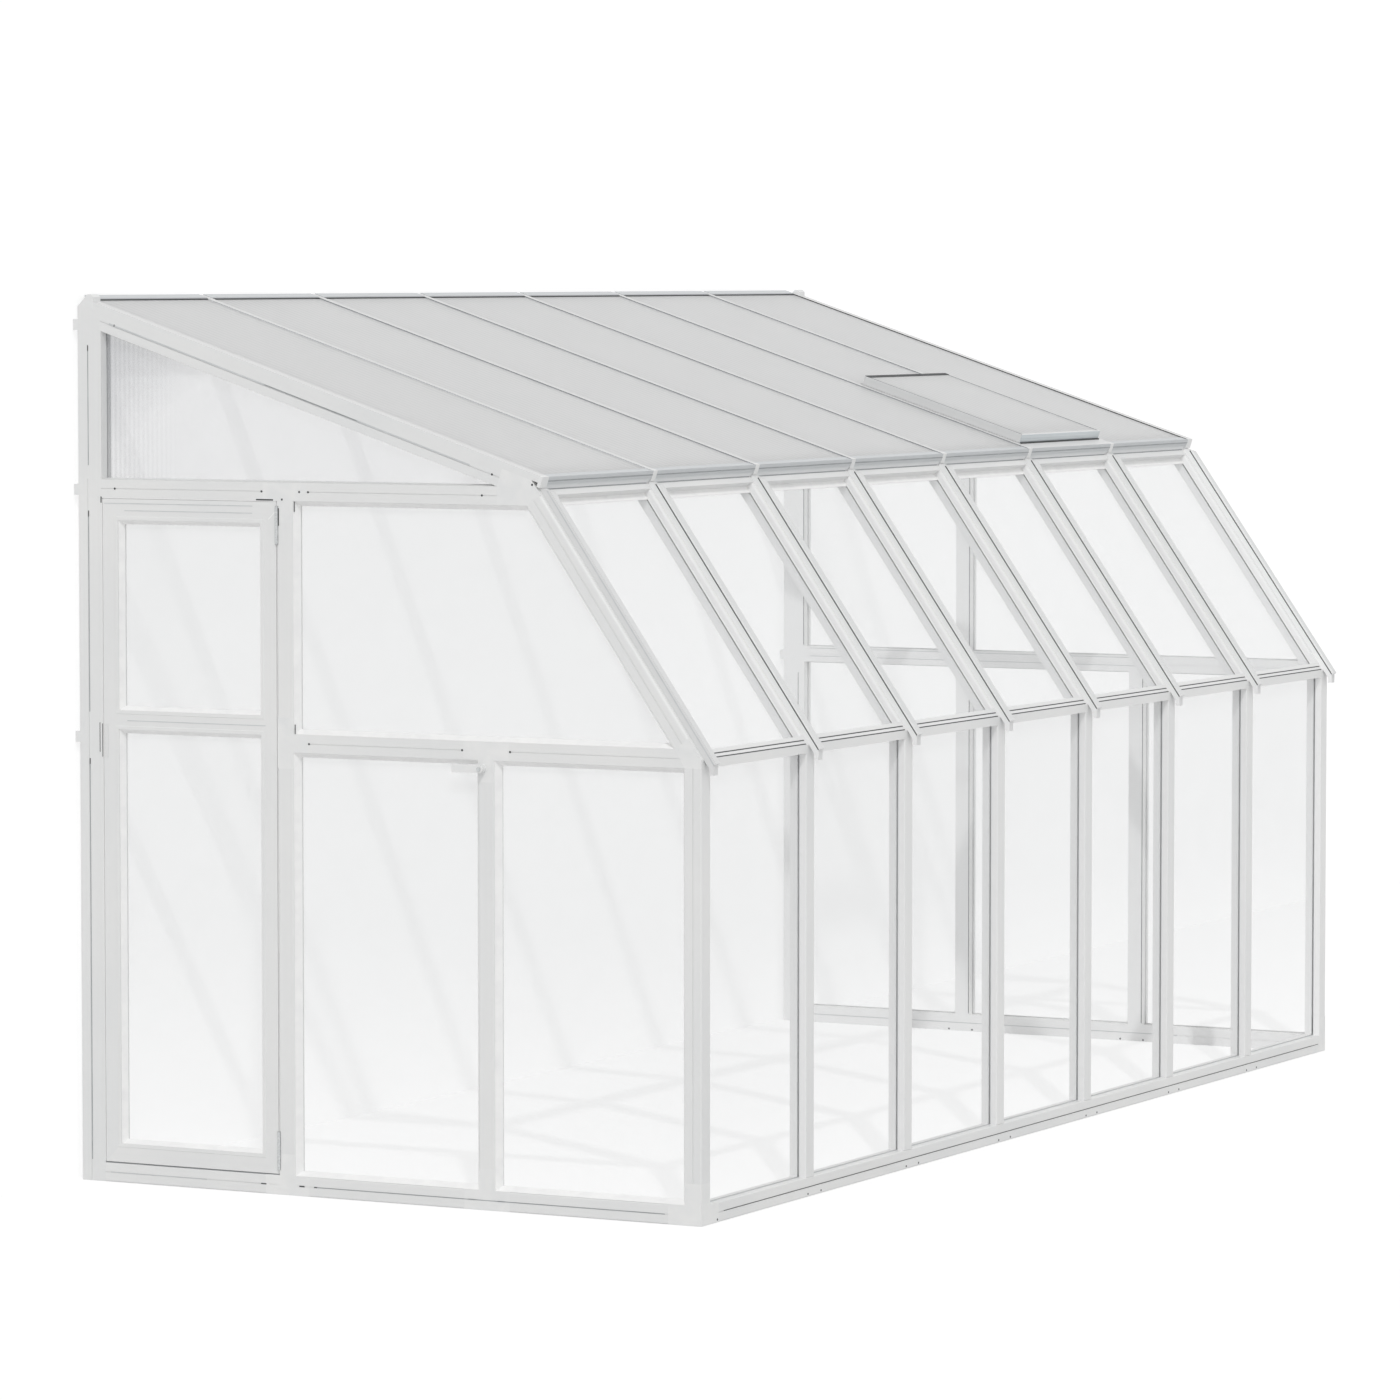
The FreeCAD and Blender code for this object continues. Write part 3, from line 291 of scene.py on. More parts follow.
def opalTwinWall():
    made, tree = newMaterial("opalTwinWall")
    spot = addNode(tree, "TexCoord")
    ribs = addNode(tree, "TexWave",
                   {**ribBands, "bands_direction": "X", "Scale": waveLong / opalLook["pitch"]},
                   {"Vector": spot.outputs["Object"]})
    cloud = addNode(tree, "TexNoise", {"Scale": 1000 / opalLook["cloud"], "Detail": 3.0},
                    {"Vector": spot.outputs["Object"]})
    both = addNode(tree, "Math", {"operation": "MULTIPLY_ADD", 1: opalLook["cloudShare"]},
                   {0: cloud.outputs["Fac"], 2: ribs.outputs["Fac"]})
    colour = addNode(tree, "ValToRGB", {"stops": toneStops(opalLook, opalLook["between"])},
                     {"Fac": both.outputs[0]})
    bump = addNode(tree, "Bump", {"Strength": 0.15, "Distance": 0.001}, {"Height": ribs.outputs["Fac"]})
    skin = addNode(tree, "BsdfPrincipled", {"IOR": 1.58, "Roughness": 0.34},
                   {"Base Color": colour.outputs["Color"], "Normal": bump.outputs["Normal"]})
    glow = addNode(tree, "BsdfTranslucent", {}, {"Color": colour.outputs["Color"]})
    mix = addNode(tree, "MixShader", {0: opalLook["through"]},
                  {1: skin.outputs["BSDF"], 2: glow.outputs["BSDF"]})
    addNode(tree, "OutputMaterial", {}, {"Surface": mix.outputs["Shader"]})
    return made


opalSheet = opalTwinWall()
dress(opalSheet, "roof_sheets", "vent_sheet")

# Clear twin wall polycarbonate in the gables: see-through with upright ribs that catch grey light, and
# painted shade towards the back
ribbedLook = {"body": "#A9ABB0", "pitch": 15.0, "veil": (0.135, 0.21), "shade": (0.0, 0.14),
              "drift": 250.0, "driftShare": 0.6, "mixed": (0.2, 1.2), "ribShade": (0.0, 0.9),
              "ribShadeFrom": (0.66, 0.88), "cornerShadeFrom": (4.15, 4.55), "steep": 1.6}


def ribbedClear():
    made, tree = newMaterial("clearTwinWall")
    spot = addNode(tree, "TexCoord")
    ribs = addNode(tree, "TexWave",
                   {**ribBands, "bands_direction": "Y", "Scale": waveLong / ribbedLook["pitch"]},
                   {"Vector": spot.outputs["Object"]})
    drift = addNode(tree, "TexNoise", {"Scale": 1000 / ribbedLook["drift"], "Detail": 2.0},
                    {"Vector": spot.outputs["Object"]})
    place = addNode(tree, "SeparateXYZ", {}, {"Vector": spot.outputs["Object"]})
    near = addNode(tree, "MapRange", {"From": ribbedLook["ribShadeFrom"], "To": ribbedLook["ribShade"]},
                   {"Value": place.outputs["Y"]})  # painted shade: the ribs darken towards the back
    shadedRibs = addNode(tree, "Math", {"operation": "MULTIPLY"},
                     {0: ribs.outputs["Fac"], 1: near.outputs["Result"]})
    both = addNode(tree, "Math", {"operation": "MULTIPLY_ADD", 1: ribbedLook["driftShare"]},
                   {0: drift.outputs["Fac"], 2: shadedRibs.outputs[0]})
    veil = addNode(tree, "MapRange", {"From": ribbedLook["mixed"], "To": ribbedLook["veil"]},
                   {"Value": both.outputs[0]})
    cornerShade = addNode(tree, "Math", {"operation": "MULTIPLY_ADD", 1: ribbedLook["steep"]},
                   {0: place.outputs["Z"], 2: place.outputs["Y"]})
    cornerShade = addNode(tree, "MapRange", {"From": ribbedLook["cornerShadeFrom"], "To": ribbedLook["shade"]},
                   {"Value": cornerShade.outputs[0]})  # painted shade in the high corner at the back
    veil = addNode(tree, "Math", {"operation": "ADD"}, {0: veil.outputs["Result"], 1: cornerShade.outputs["Result"]})
    bump = addNode(tree, "Bump", {"Strength": 0.2, "Distance": 0.001}, {"Height": shadedRibs.outputs[0]})
    skin = addNode(tree, "BsdfPrincipled",
                   {"Base Color": linear(ribbedLook["body"]), "IOR": 1.58, "Roughness": 0.22},
                   {"Alpha": veil.outputs[0], "Normal": bump.outputs["Normal"]})
    addNode(tree, "OutputMaterial", {}, {"Surface": skin.outputs["BSDF"]})
    return made


ribbedSheet = ribbedClear()
dress(ribbedSheet, "gable_sheets")

# Mill finish aluminium: cool grey with rolling streaks along the strip
aluminiumLook = {"light": "#D3D8DA", "dark": "#BEC5C8", "between": (0.3, 0.7), "streak": 3.0,
                 "streakLong": 666.67, "rough": (0.28, 0.42)}


def millAluminium():
    made, tree = newMaterial("millAluminium")
    fine = 1000 / aluminiumLook["streak"]  # rolling marks are hair fine, drawn at 3 mm to show
    spot = addNode(tree, "TexCoord")
    drawn = addNode(tree, "Mapping", {"Scale": (1000 / aluminiumLook["streakLong"], fine, fine)},
                    {"Vector": spot.outputs["Object"]})
    streak = addNode(tree, "TexNoise", {"Scale": 1.0, "Detail": 3.0}, {"Vector": drawn.outputs["Vector"]})
    colour = addNode(tree, "ValToRGB", {"stops": toneStops(aluminiumLook, aluminiumLook["between"])},
                     {"Fac": streak.outputs["Fac"]})
    rough = addNode(tree, "MapRange", {"To": aluminiumLook["rough"]}, {"Value": streak.outputs["Fac"]})
    bump = addNode(tree, "Bump", {"Strength": 0.08, "Distance": 0.0004}, {"Height": streak.outputs["Fac"]})
    skin = addNode(tree, "BsdfPrincipled", {"Metallic": 0.85},
                   {"Base Color": colour.outputs["Color"], "Roughness": rough.outputs["Result"],
                    "Normal": bump.outputs["Normal"]})
    addNode(tree, "OutputMaterial", {}, {"Surface": skin.outputs["BSDF"]})
    return made


millStrip = millAluminium()
dress(millStrip, "vent_trim", "vent_stay_arm", "vent_stay_lug")

# Coated aluminium of the eave: grey on the upright strip and paler down the flashing, a painted shade that is
# darkest under the overhang
eaveLook = {"height": (1.950, 1.984), "rough": 0.45, "stain": 111.11, "stainShare": 0.06,
            "tones": [(0.0, "#F2F3F4"), (0.25, "#E2E4E5"), (0.42, "#CACDCF"), (0.5, "#C6C9CB"),
                      (0.62, "#C5C8CA"), (1.0, "#C8CBCD")]}


def coatedAluminium():
    made, tree = newMaterial("coatedAluminiumEave")
    spot = addNode(tree, "TexCoord")
    place = addNode(tree, "SeparateXYZ", {}, {"Vector": spot.outputs["Object"]})
    stain = addNode(tree, "TexNoise", {"Scale": 1000 / eaveLook["stain"], "Detail": 3.0},
                    {"Vector": spot.outputs["Object"]})
    # painted shade by height, darker towards the top under the trim
    height = addNode(tree, "MapRange", {"From": eaveLook["height"]}, {"Value": place.outputs["Z"]})
    uneven = addNode(tree, "Math", {"operation": "MULTIPLY_ADD", 1: eaveLook["stainShare"]},
                     {0: stain.outputs["Fac"], 2: height.outputs["Result"]})
    colour = addNode(tree, "ValToRGB", {"stops": [(at, linear(tone)) for at, tone in eaveLook["tones"]]},
                     {"Fac": uneven.outputs[0]})
    skin = addNode(tree, "BsdfPrincipled", {"Metallic": 0.2, "Roughness": eaveLook["rough"]},
                   {"Base Color": colour.outputs["Color"]})
    addNode(tree, "OutputMaterial", {}, {"Surface": skin.outputs["BSDF"]})
    return made


coatedEave = coatedAluminium()
dress(coatedEave, "eave_trims", "ridge_strips")

# Zinc plated steel: dull blue grey with a soft crystal mottle
zincLook = {"light": "#D2D4D4", "dark": "#B9BCBD", "between": (0.1, 0.8), "crystal": 5.0, "rough": (0.3, 0.5)}


def zincSteel():
    made, tree = newMaterial("zincPlatedSteel")
    spot = addNode(tree, "TexCoord")
    cell = addNode(tree, "TexVoronoi", {"Scale": 1000 / zincLook["crystal"], "Randomness": 1.0},
                   {"Vector": spot.outputs["Object"]})
    colour = addNode(tree, "ValToRGB", {"stops": toneStops(zincLook, zincLook["between"])},
                     {"Fac": cell.outputs["Distance"]})
    rough = addNode(tree, "MapRange", {"To": zincLook["rough"]}, {"Value": cell.outputs["Distance"]})
    skin = addNode(tree, "BsdfPrincipled", {"Metallic": 0.9},
                   {"Base Color": colour.outputs["Color"], "Roughness": rough.outputs["Result"]})
    addNode(tree, "OutputMaterial", {}, {"Surface": skin.outputs["BSDF"]})
    return made


zincPlate = zincSteel()
dress(zincPlate, "hinge_frame_leaves", "hinge_door_leaves", "hinge_pins", "vent_stay_pin", "catch_screw")

# Moulded white nylon of the latch: a low sheen with a coarse grain
nylonLook = {"light": "#E6E6E5", "dark": "#DCDDDD", "between": (0.3, 0.7), "grain": 3.0}


def whiteNylon():
    made, tree = newMaterial("mouldedWhiteNylon")
    spot = addNode(tree, "TexCoord")
    grain = addNode(tree, "TexNoise", {"Scale": 1000 / nylonLook["grain"], "Detail": 4.0},
                    {"Vector": spot.outputs["Object"]})  # the grain is under 1 mm, drawn at 3 mm to show
    colour = addNode(tree, "ValToRGB", {"stops": toneStops(nylonLook, nylonLook["between"])},
                     {"Fac": grain.outputs["Fac"]})
    bump = addNode(tree, "Bump", {"Strength": 0.2, "Distance": 0.0004}, {"Height": grain.outputs["Fac"]})
    skin = addNode(tree, "BsdfPrincipled", {"IOR": 1.53, "Roughness": 0.5},
                   {"Base Color": colour.outputs["Color"], "Normal": bump.outputs["Normal"]})
    addNode(tree, "OutputMaterial", {}, {"Surface": skin.outputs["BSDF"]})
    return made


latchNylon = whiteNylon()
dress(latchNylon, "latch_case", "latch_bolt", "latch_keeper", "latch_plate")

# Extruded EPDM rubber: matt grey lips with a faint bloom; its darker copies are painted shade in slits,
# grooves and gaps. Foam tape has the same look in white
rubberLook = {"light": "#D2D4D5", "dark": "#C6C9CA", "between": (0.3, 0.7), "bloom": 40.0,
              "rough": (0.6, 0.8)}
blackAndShadeTone = {"light": "#4A4C4E", "dark": "#36383A"}  # near black: painted shade deep in slits, grooves and gaps, and the black of the vent flap and screw caps
halfShadeTone = {"light": "#A8ABAD", "dark": "#94979A"}  # painted half shade in shallower grooves and gaps
tapeTone = {"light": "#F8F8F7", "dark": "#F1F1F1"}


def glazingRubber(name, tone=rubberLook):
    made, tree = newMaterial(name)
    spot = addNode(tree, "TexCoord")
    bloom = addNode(tree, "TexNoise", {"Scale": 1000 / rubberLook["bloom"], "Detail": 4.0},
                    {"Vector": spot.outputs["Object"]})
    colour = addNode(tree, "ValToRGB", {"stops": toneStops(tone, rubberLook["between"])},
                     {"Fac": bloom.outputs["Fac"]})
    rough = addNode(tree, "MapRange", {"To": rubberLook["rough"]}, {"Value": bloom.outputs["Fac"]})
    skin = addNode(tree, "BsdfPrincipled", {"IOR": 1.5},
                   {"Base Color": colour.outputs["Color"], "Roughness": rough.outputs["Result"]})
    addNode(tree, "OutputMaterial", {}, {"Surface": skin.outputs["BSDF"]})
    return made


rubber = glazingRubber("extrudedRubberGrey")
blackRubberAndShade = glazingRubber("extrudedRubberBlackAndShade", blackAndShadeTone)
halfShadeRubber = glazingRubber("extrudedRubberHalfShade", halfShadeTone)
whiteTape = glazingRubber("foamTapeWhite", tapeTone)
print("stage: materials on every node")


def newPiece(name, bm, material, body):
    bmesh.ops.recalc_face_normals(bm, faces=bm.faces)
    mesh = bpy.data.meshes.new(name)
    bm.to_mesh(mesh)
    bm.free()
    mesh.materials.append(material)
    made = bpy.data.objects.new(name, mesh)
    scene.collection.objects.link(made)
    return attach(made, body)


def bridge(bm, first, second):  # a band of faces between two rings of points
    for i in range(len(first)):
        j = (i + 1) % len(first)
        bm.faces.new((first[i], first[j], second[j], second[i]))


def loft(bm, rings):  # a closed solid through rings of points
    for first, second in zip(rings, rings[1:]):
        bridge(bm, first, second)
    bm.faces.new(rings[0])
    bm.faces.new(rings[-1])


def bar(bm, a, b, side, up, profile):
    # A straight length from a to b, its profile in mm along side and up
    loft(bm, [[bm.verts.new(p + side * x / 1000 + up * y / 1000) for x, y in profile] for p in (a, b)])


def flat(x0, x1, y0, y1):  # the profile of a plain strip
    return [(x0, y0), (x1, y0), (x1, y1), (x0, y1)]


def lip(x0, x1, y0, y1):  # the same with eased outer corners
    ease = min(x1 - x0, y1 - y0) / 4
    return [(x0, y0), (x1, y0), (x1, y1 - ease), (x1 - ease, y1), (x0 + ease, y1), (x0, y1 - ease)]


def loopBead(bm, corners, out, profile):
    # A mitred bead round an opening: profile pairs are mm in from the edge and mm off the pane
    rings = []
    for i, corner in enumerate(corners):
        before = (corner - corners[i - 1]).normalized()
        after = (corners[(i + 1) % len(corners)] - corner).normalized()
        inBefore, inAfter = out.cross(before), out.cross(after)
        mitre = (inBefore + inAfter).normalized()
        mitre /= mitre.dot(inAfter)
        rings.append([bm.verts.new(corner + mitre * a / 1000 + out * b / 1000) for a, b in profile])
    for i, ring in enumerate(rings):
        bridge(bm, ring, rings[(i + 1) % len(rings)])


def paneLoops(corners, out, bm, profile, thick, inner=None):
    # The bead on both faces of a pane, the corners given on its outer face
    first = corners[0]
    area = sum((a - first).cross(b - first).dot(out) for a, b in zip(corners, corners[1:]))
    if area < 0:
        corners = corners[::-1]
    loopBead(bm, corners, out, profile)
    behind = [c - out * thick / 1000 for c in corners[::-1]]
    loopBead(bm, behind, -out, inner or profile)


# Glazing seals: a soft lip pressed on the pane along every bar, and white beads and linings at the ends
sealLook = {
    "thick": 4.0, "slantFrom": 28.0,
    "lip": [(0, 0.05), (0, 1.2), (0.5, 1.3), (1.0, 1.0), (1.4, 0.5), (1.5, 0.05)],
    "slope": [(0, 0.05), (0, 20.6), (0.8, 21.0), (13.6, 0.05)],
    "narrowSlope": [(0, 0.05), (0, 20.6), (0.5, 21.0), (4.5, 0.05)],
    "inner": [(0, 0.05), (0, 12.0), (0.8, 12.4), (8.5, 0.05)],
    "lining": [(0, 0.05), (0, 23.6), (0.7, 23.6), (0.9, 0.05)],
    "doorSlope": [(0, 0.05), (0, 16.4), (0.8, 16.8), (12.0, 0.05)],
}


def slantInner(z):  # the slanted bar's inner edge at this height
    deep = shell["bar"]
    s0 = deep * math.sin(shell["slant"])
    z0 = shell["knee"] - deep * math.cos(shell["slant"])
    return s0 + (z - z0) / math.tan(shell["slant"])


def endOutlines(right):  # the clear openings of an end wall, the gable last
    width, low, high, sill = shell["bar"], shell["railLow"], shell["railHigh"], shell["sill"]
    mullion, post, doorFrom, doorTo = shell["mullion"], shell["doorPost"], shell["doorFrom"], shell["doorTo"]
    boxes = [(width, mullion, sill, low), (mullion + width, post, sill, low)]
    if right:
        boxes += [(doorFrom, doorTo, sill, low), (doorFrom, doorTo, high, topLow)]
    out = [flat(*box) for box in boxes]
    out.append([(slantInner(high), high), (post, high), (post, topLow), (slantInner(topLow), topLow)])
    gableLow, drop = topLow + width, width / math.cos(shell["roof"])
    start = shell["reach"] + (gableLow + drop - eaveHigh) / math.tan(shell["roof"])
    gableHigh = eaveHigh + (doorTo - shell["reach"]) * math.tan(shell["roof"]) - drop
    out.append([(start, gableLow), (doorTo, gableLow), (doorTo, gableHigh)])
    return out


def glazingSeals():
    thick, inset = sealLook["thick"], shell["paneOut"]
    front, slant, ends, gables = (bmesh.new() for _ in range(4))
    for bay in range(shell["bays"]):
        u0, u1 = betweenBars(bay)
        corners = [row(u, inset, z) for u, z in flat(u0, u1, shell["sill"], shell["railLow"])]
        paneLoops(corners, -acrossS, front, sealLook["lip"], thick)
        outline = flat(u0, u1, sealLook["slantFrom"], slantLong - shell["bar"])
        corners = [onSlant(u, along, inset) for u, along in outline]
        paneLoops(corners, slantOut, slant, sealLook["lip"], thick)
    for right in (False, True):
        u = shell["length"] - inset if right else inset
        out = acrossU if right else -acrossU
        outer, inner = ("narrowSlope", "lining") if right else ("slope", "inner")
        *walls, gable = ([row(u, s, z) for s, z in outline] for outline in endOutlines(right))
        for corners in walls:
            paneLoops(corners, out, ends, sealLook[outer], thick, sealLook[inner])
        paneLoops(gable, out, gables, sealLook["narrowSlope"], thick)
    newPiece("front_seals", front, rubber, "frame")
    # painted light: the slanted seals take the white tape tone so that their crevice reads light
    newPiece("slant_seals", slant, whiteTape, "frame")
    newPiece("end_beads", ends, whiteTape, "frame")
    newPiece("gable_beads", gables, resinZ, "frame")


glazingSeals()
print("stage: glazing seals")

# Door lights: sloped beads on the panes and snap-in beads round both faces of the leaf
doorLook = {"s": (1359.0, 1819.0), "lights": ((109.0, 1265.0), (1317.0, 1845.2)), "paneOut": 18.0,
            "thick": 40.0, "bead": [(0.0, 0.0), (0.4, 1.1), (-8.6, 1.1), (-9.8, 0.0)]}


def doorLights():
    slopes, beads = bmesh.new(), bmesh.new()
    for light in doorLook["lights"]:
        outline = flat(*doorLook["s"], *light)
        pane = [row(doorLook["paneOut"], s, z) for s, z in outline]
        paneLoops(pane, -acrossU, slopes, sealLook["doorSlope"], sealLook["thick"], sealLook["inner"])
        face = [row(0.0, s, z) for s, z in outline]
        paneLoops(face, -acrossU, beads, doorLook["bead"], doorLook["thick"])
    newPiece("door_slopes", slopes, whiteTape, "door")
    newPiece("door_beads", beads, resinY, "door")


doorLights()

# Rubber in the slits of the slanted bar covers: near black as painted shade, pale on the first one
slitLook = {"up": (14.9, 18.2), "deep": (0.3, 1.6), "from": -28.0, "short": 46.0}


def coverSlits():
    dark, pale = bmesh.new(), bmesh.new()
    d0, d1 = slitLook["deep"]
    for n in range(shell["bays"] + 1):
        for u, sign in zip(coverEdges(n), (1, -1)):
            a = onSlant(u, slitLook["from"], 0)
            b = onSlant(u, slantLong - slitLook["short"], 0)
            bar(dark if n else pale, a, b, acrossU, slantOut, flat(sign * d0, sign * d1, *slitLook["up"]))
    newPiece("cover_slit_rubber", dark, blackRubberAndShade, "frame")
    newPiece("end_cover_slit_rubber", pale, rubber, "frame")


coverSlits()

# Rubber cords pressed into the grooves of the front rail and the eave beam, dark as painted shade of the
# grooves
cordLook = {"wide": (0.1, 3.2), "high": (-1.5, 0.3), "railUp": (0.7, 12.7), "eaveDown": 32.4}


def grooveCords():
    rail, eave = bmesh.new(), bmesh.new()
    profile = flat(*cordLook["wide"], *cordLook["high"])
    places = [(rail, up) for up in cordLook["railUp"]] + [(eave, slantLong - cordLook["eaveDown"])]
    for bay in range(shell["bays"]):
        u0, u1 = betweenBars(bay)
        for bm, up in places:
            bar(bm, onSlant(u0, up, 0), onSlant(u1, up, 0), slantAlong, slantOut, profile)
    newPiece("groove_cords", rail, blackRubberAndShade, "frame")
    newPiece("eave_cords", eave, halfShadeRubber, "frame")


grooveCords()

# Roof edge: the edge strip's flange on the sheet, a dark drip lip on its face as painted shade under the
# strip, and foam tape under the eave beam
edgeLook = {"flange": (-29.0, -4.0), "thick": (0.05, 1.0), "lipUp": (5.6, 8.4), "lipProud": 0.9, "clear": 0.5,
            "tape": (-21.0, -0.1)}


def roofEdge():
    flange, drip, tape = bmesh.new(), bmesh.new(), bmesh.new()
    sheet, top = shell["sheet"], slantLong - shell["bar"]
    for bay in range(shell["bays"]):
        u0, u1 = betweenCovers(bay, edgeLook["clear"])
        if bay != shell["ventBay"]:
            bar(flange, onRoof(u0, 0, sheet), onRoof(u1, 0, sheet), roofAlong, roofUp,
                lip(*edgeLook["flange"], *edgeLook["thick"]))
        bar(drip, onRoof(u0, -shell["hang"], 0), onRoof(u1, -shell["hang"], 0), roofAlong, roofUp,
            flat(-edgeLook["lipProud"], 0.0, *edgeLook["lipUp"]))
        a, b = (onSlant(u, top, shell["paneOut"]) for u in betweenBars(bay))
        bar(tape, a, b, slantAlong, slantOut, lip(*edgeLook["tape"], *edgeLook["thick"]))
    newPiece("eave_flanges", flange, coatedEave, "frame")
    newPiece("eave_drip_lips", drip, halfShadeRubber, "frame")
    newPiece("slant_top_tapes", tape, whiteTape, "frame")


roofEdge()

# Rubber lips along the roof covers and under the ridge strips, painted shade that darkens from the near
# covers to the far verge
roofLip = {"wide": 2.2, "high": 2.6, "from": 3.0, "short": 28.0, "paleBars": 2,
           "ridge": 30.0, "ridgeWide": 4.5, "ridgeHigh": 2.4}


def roofLips():
    pale, grey, black, ridge = (bmesh.new() for _ in range(4))
    sheet, last, vent = shell["sheet"], shell["bays"], shell["ventBay"]
    for n in range(last + 1):
        store = pale if n < roofLip["paleBars"] else black if n == last else grey
        for u, sign in zip(coverEdges(n), (-1, 1)):
            if (n, sign) in ((0, -1), (last, 1)):  # no sheet beyond the verges
                continue
            byVent = (n, sign) in ((vent, 1), (vent + 1, -1))
            start = shell["ventTop"] + shell["ventBack"] if byVent else roofLip["from"] - shell["hang"]
            x0, x1 = sorted((0.0, sign * roofLip["wide"]))
            a, b = (onRoof(u, along, sheet) for along in (start, roofLong - roofLip["short"]))
            bar(store, a, b, acrossU, roofUp, lip(x0, x1, 0.0, roofLip["high"]))
    along = roofLong + sheet * math.tan(shell["roof"]) - roofLip["ridge"]
    for bay in range(last):
        a, b = (onRoof(u, along, sheet) for u in betweenCovers(bay))
        bar(ridge, a, b, roofAlong, roofUp, lip(-roofLip["ridgeWide"], 0.0, 0.0, roofLip["ridgeHigh"]))
    newPiece("roof_cover_lips", grey, halfShadeRubber, "frame")
    newPiece("roof_near_lips", pale, rubber, "frame")
    newPiece("roof_far_lips", black, blackRubberAndShade, "frame")
    newPiece("ridge_strip_lips", ridge, blackRubberAndShade, "frame")


roofLips()

# Opal sheets with the soft swell of their ribs
swellLook = {"pitch": 32.0, "dip": 0.35, "steps": 4, "from": 2.0}


def sheetSkin(bm, u0, u1, along0, along1, up0):
    count = round((u1 - u0) / swellLook["pitch"]) * swellLook["steps"]
    top, under = [], []
    for i in range(count + 1):
        u = u0 + (u1 - u0) * i / count
        dip = swellLook["dip"] * (1 - math.cos(2 * math.pi * i / swellLook["steps"])) / 2
        top.append((u, up0 + shell["sheet"] - dip))
        under.append((u, up0 + dip))
    loop = top + under[::-1]
    loft(bm, [[bm.verts.new(onRoof(u, along, up)) for u, up in loop] for along in (along0, along1)])


def roofSkins():
    roof, vent = bmesh.new(), bmesh.new()
    for bay in range(shell["bays"]):
        byVent = bay == shell["ventBay"]
        start = shell["ventTop"] + shell["ventBack"] if byVent else swellLook["from"] - shell["hang"]
        sheetSkin(roof, *betweenCovers(bay), start, roofLong, 0.0)
    rim = shell["ventRim"]
    sheetSkin(vent, *betweenCovers(shell["ventBay"], shell["ventSide"] + rim), shell["ventFrom"] + rim,
              shell["ventTop"] - rim, shell["ventHigh"] - shell["sheet"])
    roof = newPiece("roof_skins", roof, opalSheet, "frame")
    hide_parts("roof_sheets")
    vent = newPiece("vent_skin", vent, opalSheet, "vent")
    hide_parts("vent_sheet")
    roof.visible_shadow = vent.visible_shadow = False  # day comes through the opal sheets


roofSkins()

# Rubber of the vent: a black flap over its hinge edge, and a dark strip at its lower edge and cords at its
# sides as painted shade
ventLook = {"flap": (577.0, 593.0), "flapHigh": 1.6, "strip": (13.0, 17.8), "stripHigh": 3.4,
            "cordIn": 9.0, "cordEnds": (24.0, 576.0), "cordHalf": 1.4, "cordHigh": 1.2}


def ventRubber():
    flap, strip, cords = bmesh.new(), bmesh.new(), bmesh.new()
    u0, u1 = betweenCovers(shell["ventBay"], shell["ventSide"])
    inset, high, low = ventLook["cordIn"], shell["ventHigh"], shell["coverHigh"]
    bar(flap, onRoof(u0 + inset, 0, high), onRoof(u1, 0, high), roofAlong, roofUp,
        lip(*ventLook["flap"], 0.0, ventLook["flapHigh"]))
    bar(strip, onRoof(u0, 0, low), onRoof(u1, 0, low), roofAlong, roofUp,
        lip(*ventLook["strip"], 0.0, ventLook["stripHigh"]))
    half = ventLook["cordHalf"]
    for u in (u0 + inset, u1 - inset):
        a, b = (onRoof(u, along, high) for along in ventLook["cordEnds"])
        bar(cords, a, b, acrossU, roofUp, lip(-half, half, 0.0, ventLook["cordHigh"]))
    newPiece("vent_hinge_flap", flap, blackRubberAndShade, "vent")
    newPiece("vent_sill_strip", strip, blackRubberAndShade, "frame")
    newPiece("vent_side_cords", cords, halfShadeRubber, "vent")


ventRubber()

# Screw heads under dark rubber caps: (s, z) on the end walls, and u from each bar along the front sill
screwLook = {"radius": 3.1, "high": 0.7, "steps": 14,
             "rings": ((1.0, 0.0), (0.92, 0.7), (0.6, 1.0), (0.45, 0.35)),
             "beam": (1829.0, 1355.0, 1235.0, 1207.0, 664.0), "rail": (1207.0, 727.0, 579.0),
             "corners": [(1828.0, 2381.0), (633.0, 1988.0), (510.0, 1962.0)],
             "sill": (12.0, 92.0), "sillHigh": 8.0, "sillEnds": 60.0}


def screwHead(bm, centre, out):
    side = out.orthogonal().normalized()
    other = out.cross(side)
    rings = []
    for share, high in screwLook["rings"]:
        ring = []
        for i in range(screwLook["steps"]):
            turn = 2 * math.pi * i / screwLook["steps"]
            spread = (side * math.cos(turn) + other * math.sin(turn)) * share * screwLook["radius"] / 1000
            ring.append(bm.verts.new(centre + spread + out * high * screwLook["high"] / 1000))
        rings.append(ring)
    loft(bm, rings)


def jointScrews():
    bm = bmesh.new()
    beam, rail = topLow + shell["bar"] / 2, (shell["railLow"] + shell["railHigh"]) / 2
    spots = [(s, beam) for s in screwLook["beam"]] + [(s, rail) for s in screwLook["rail"]]
    for s, z in spots + screwLook["corners"]:
        screwHead(bm, row(0.0, s, z), -acrossU)
        screwHead(bm, row(shell["length"], s, z), acrossU)
    for n in range(shell["bays"] + 1):
        for off in screwLook["sill"]:
            u = n * shell["bay"] + off
            if screwLook["sillEnds"] < u < shell["length"] - screwLook["sillEnds"]:
                screwHead(bm, row(u, 0.0, screwLook["sillHigh"]), -acrossS)
    newPiece("joint_screws", bm, blackRubberAndShade, "frame")


jointScrews()
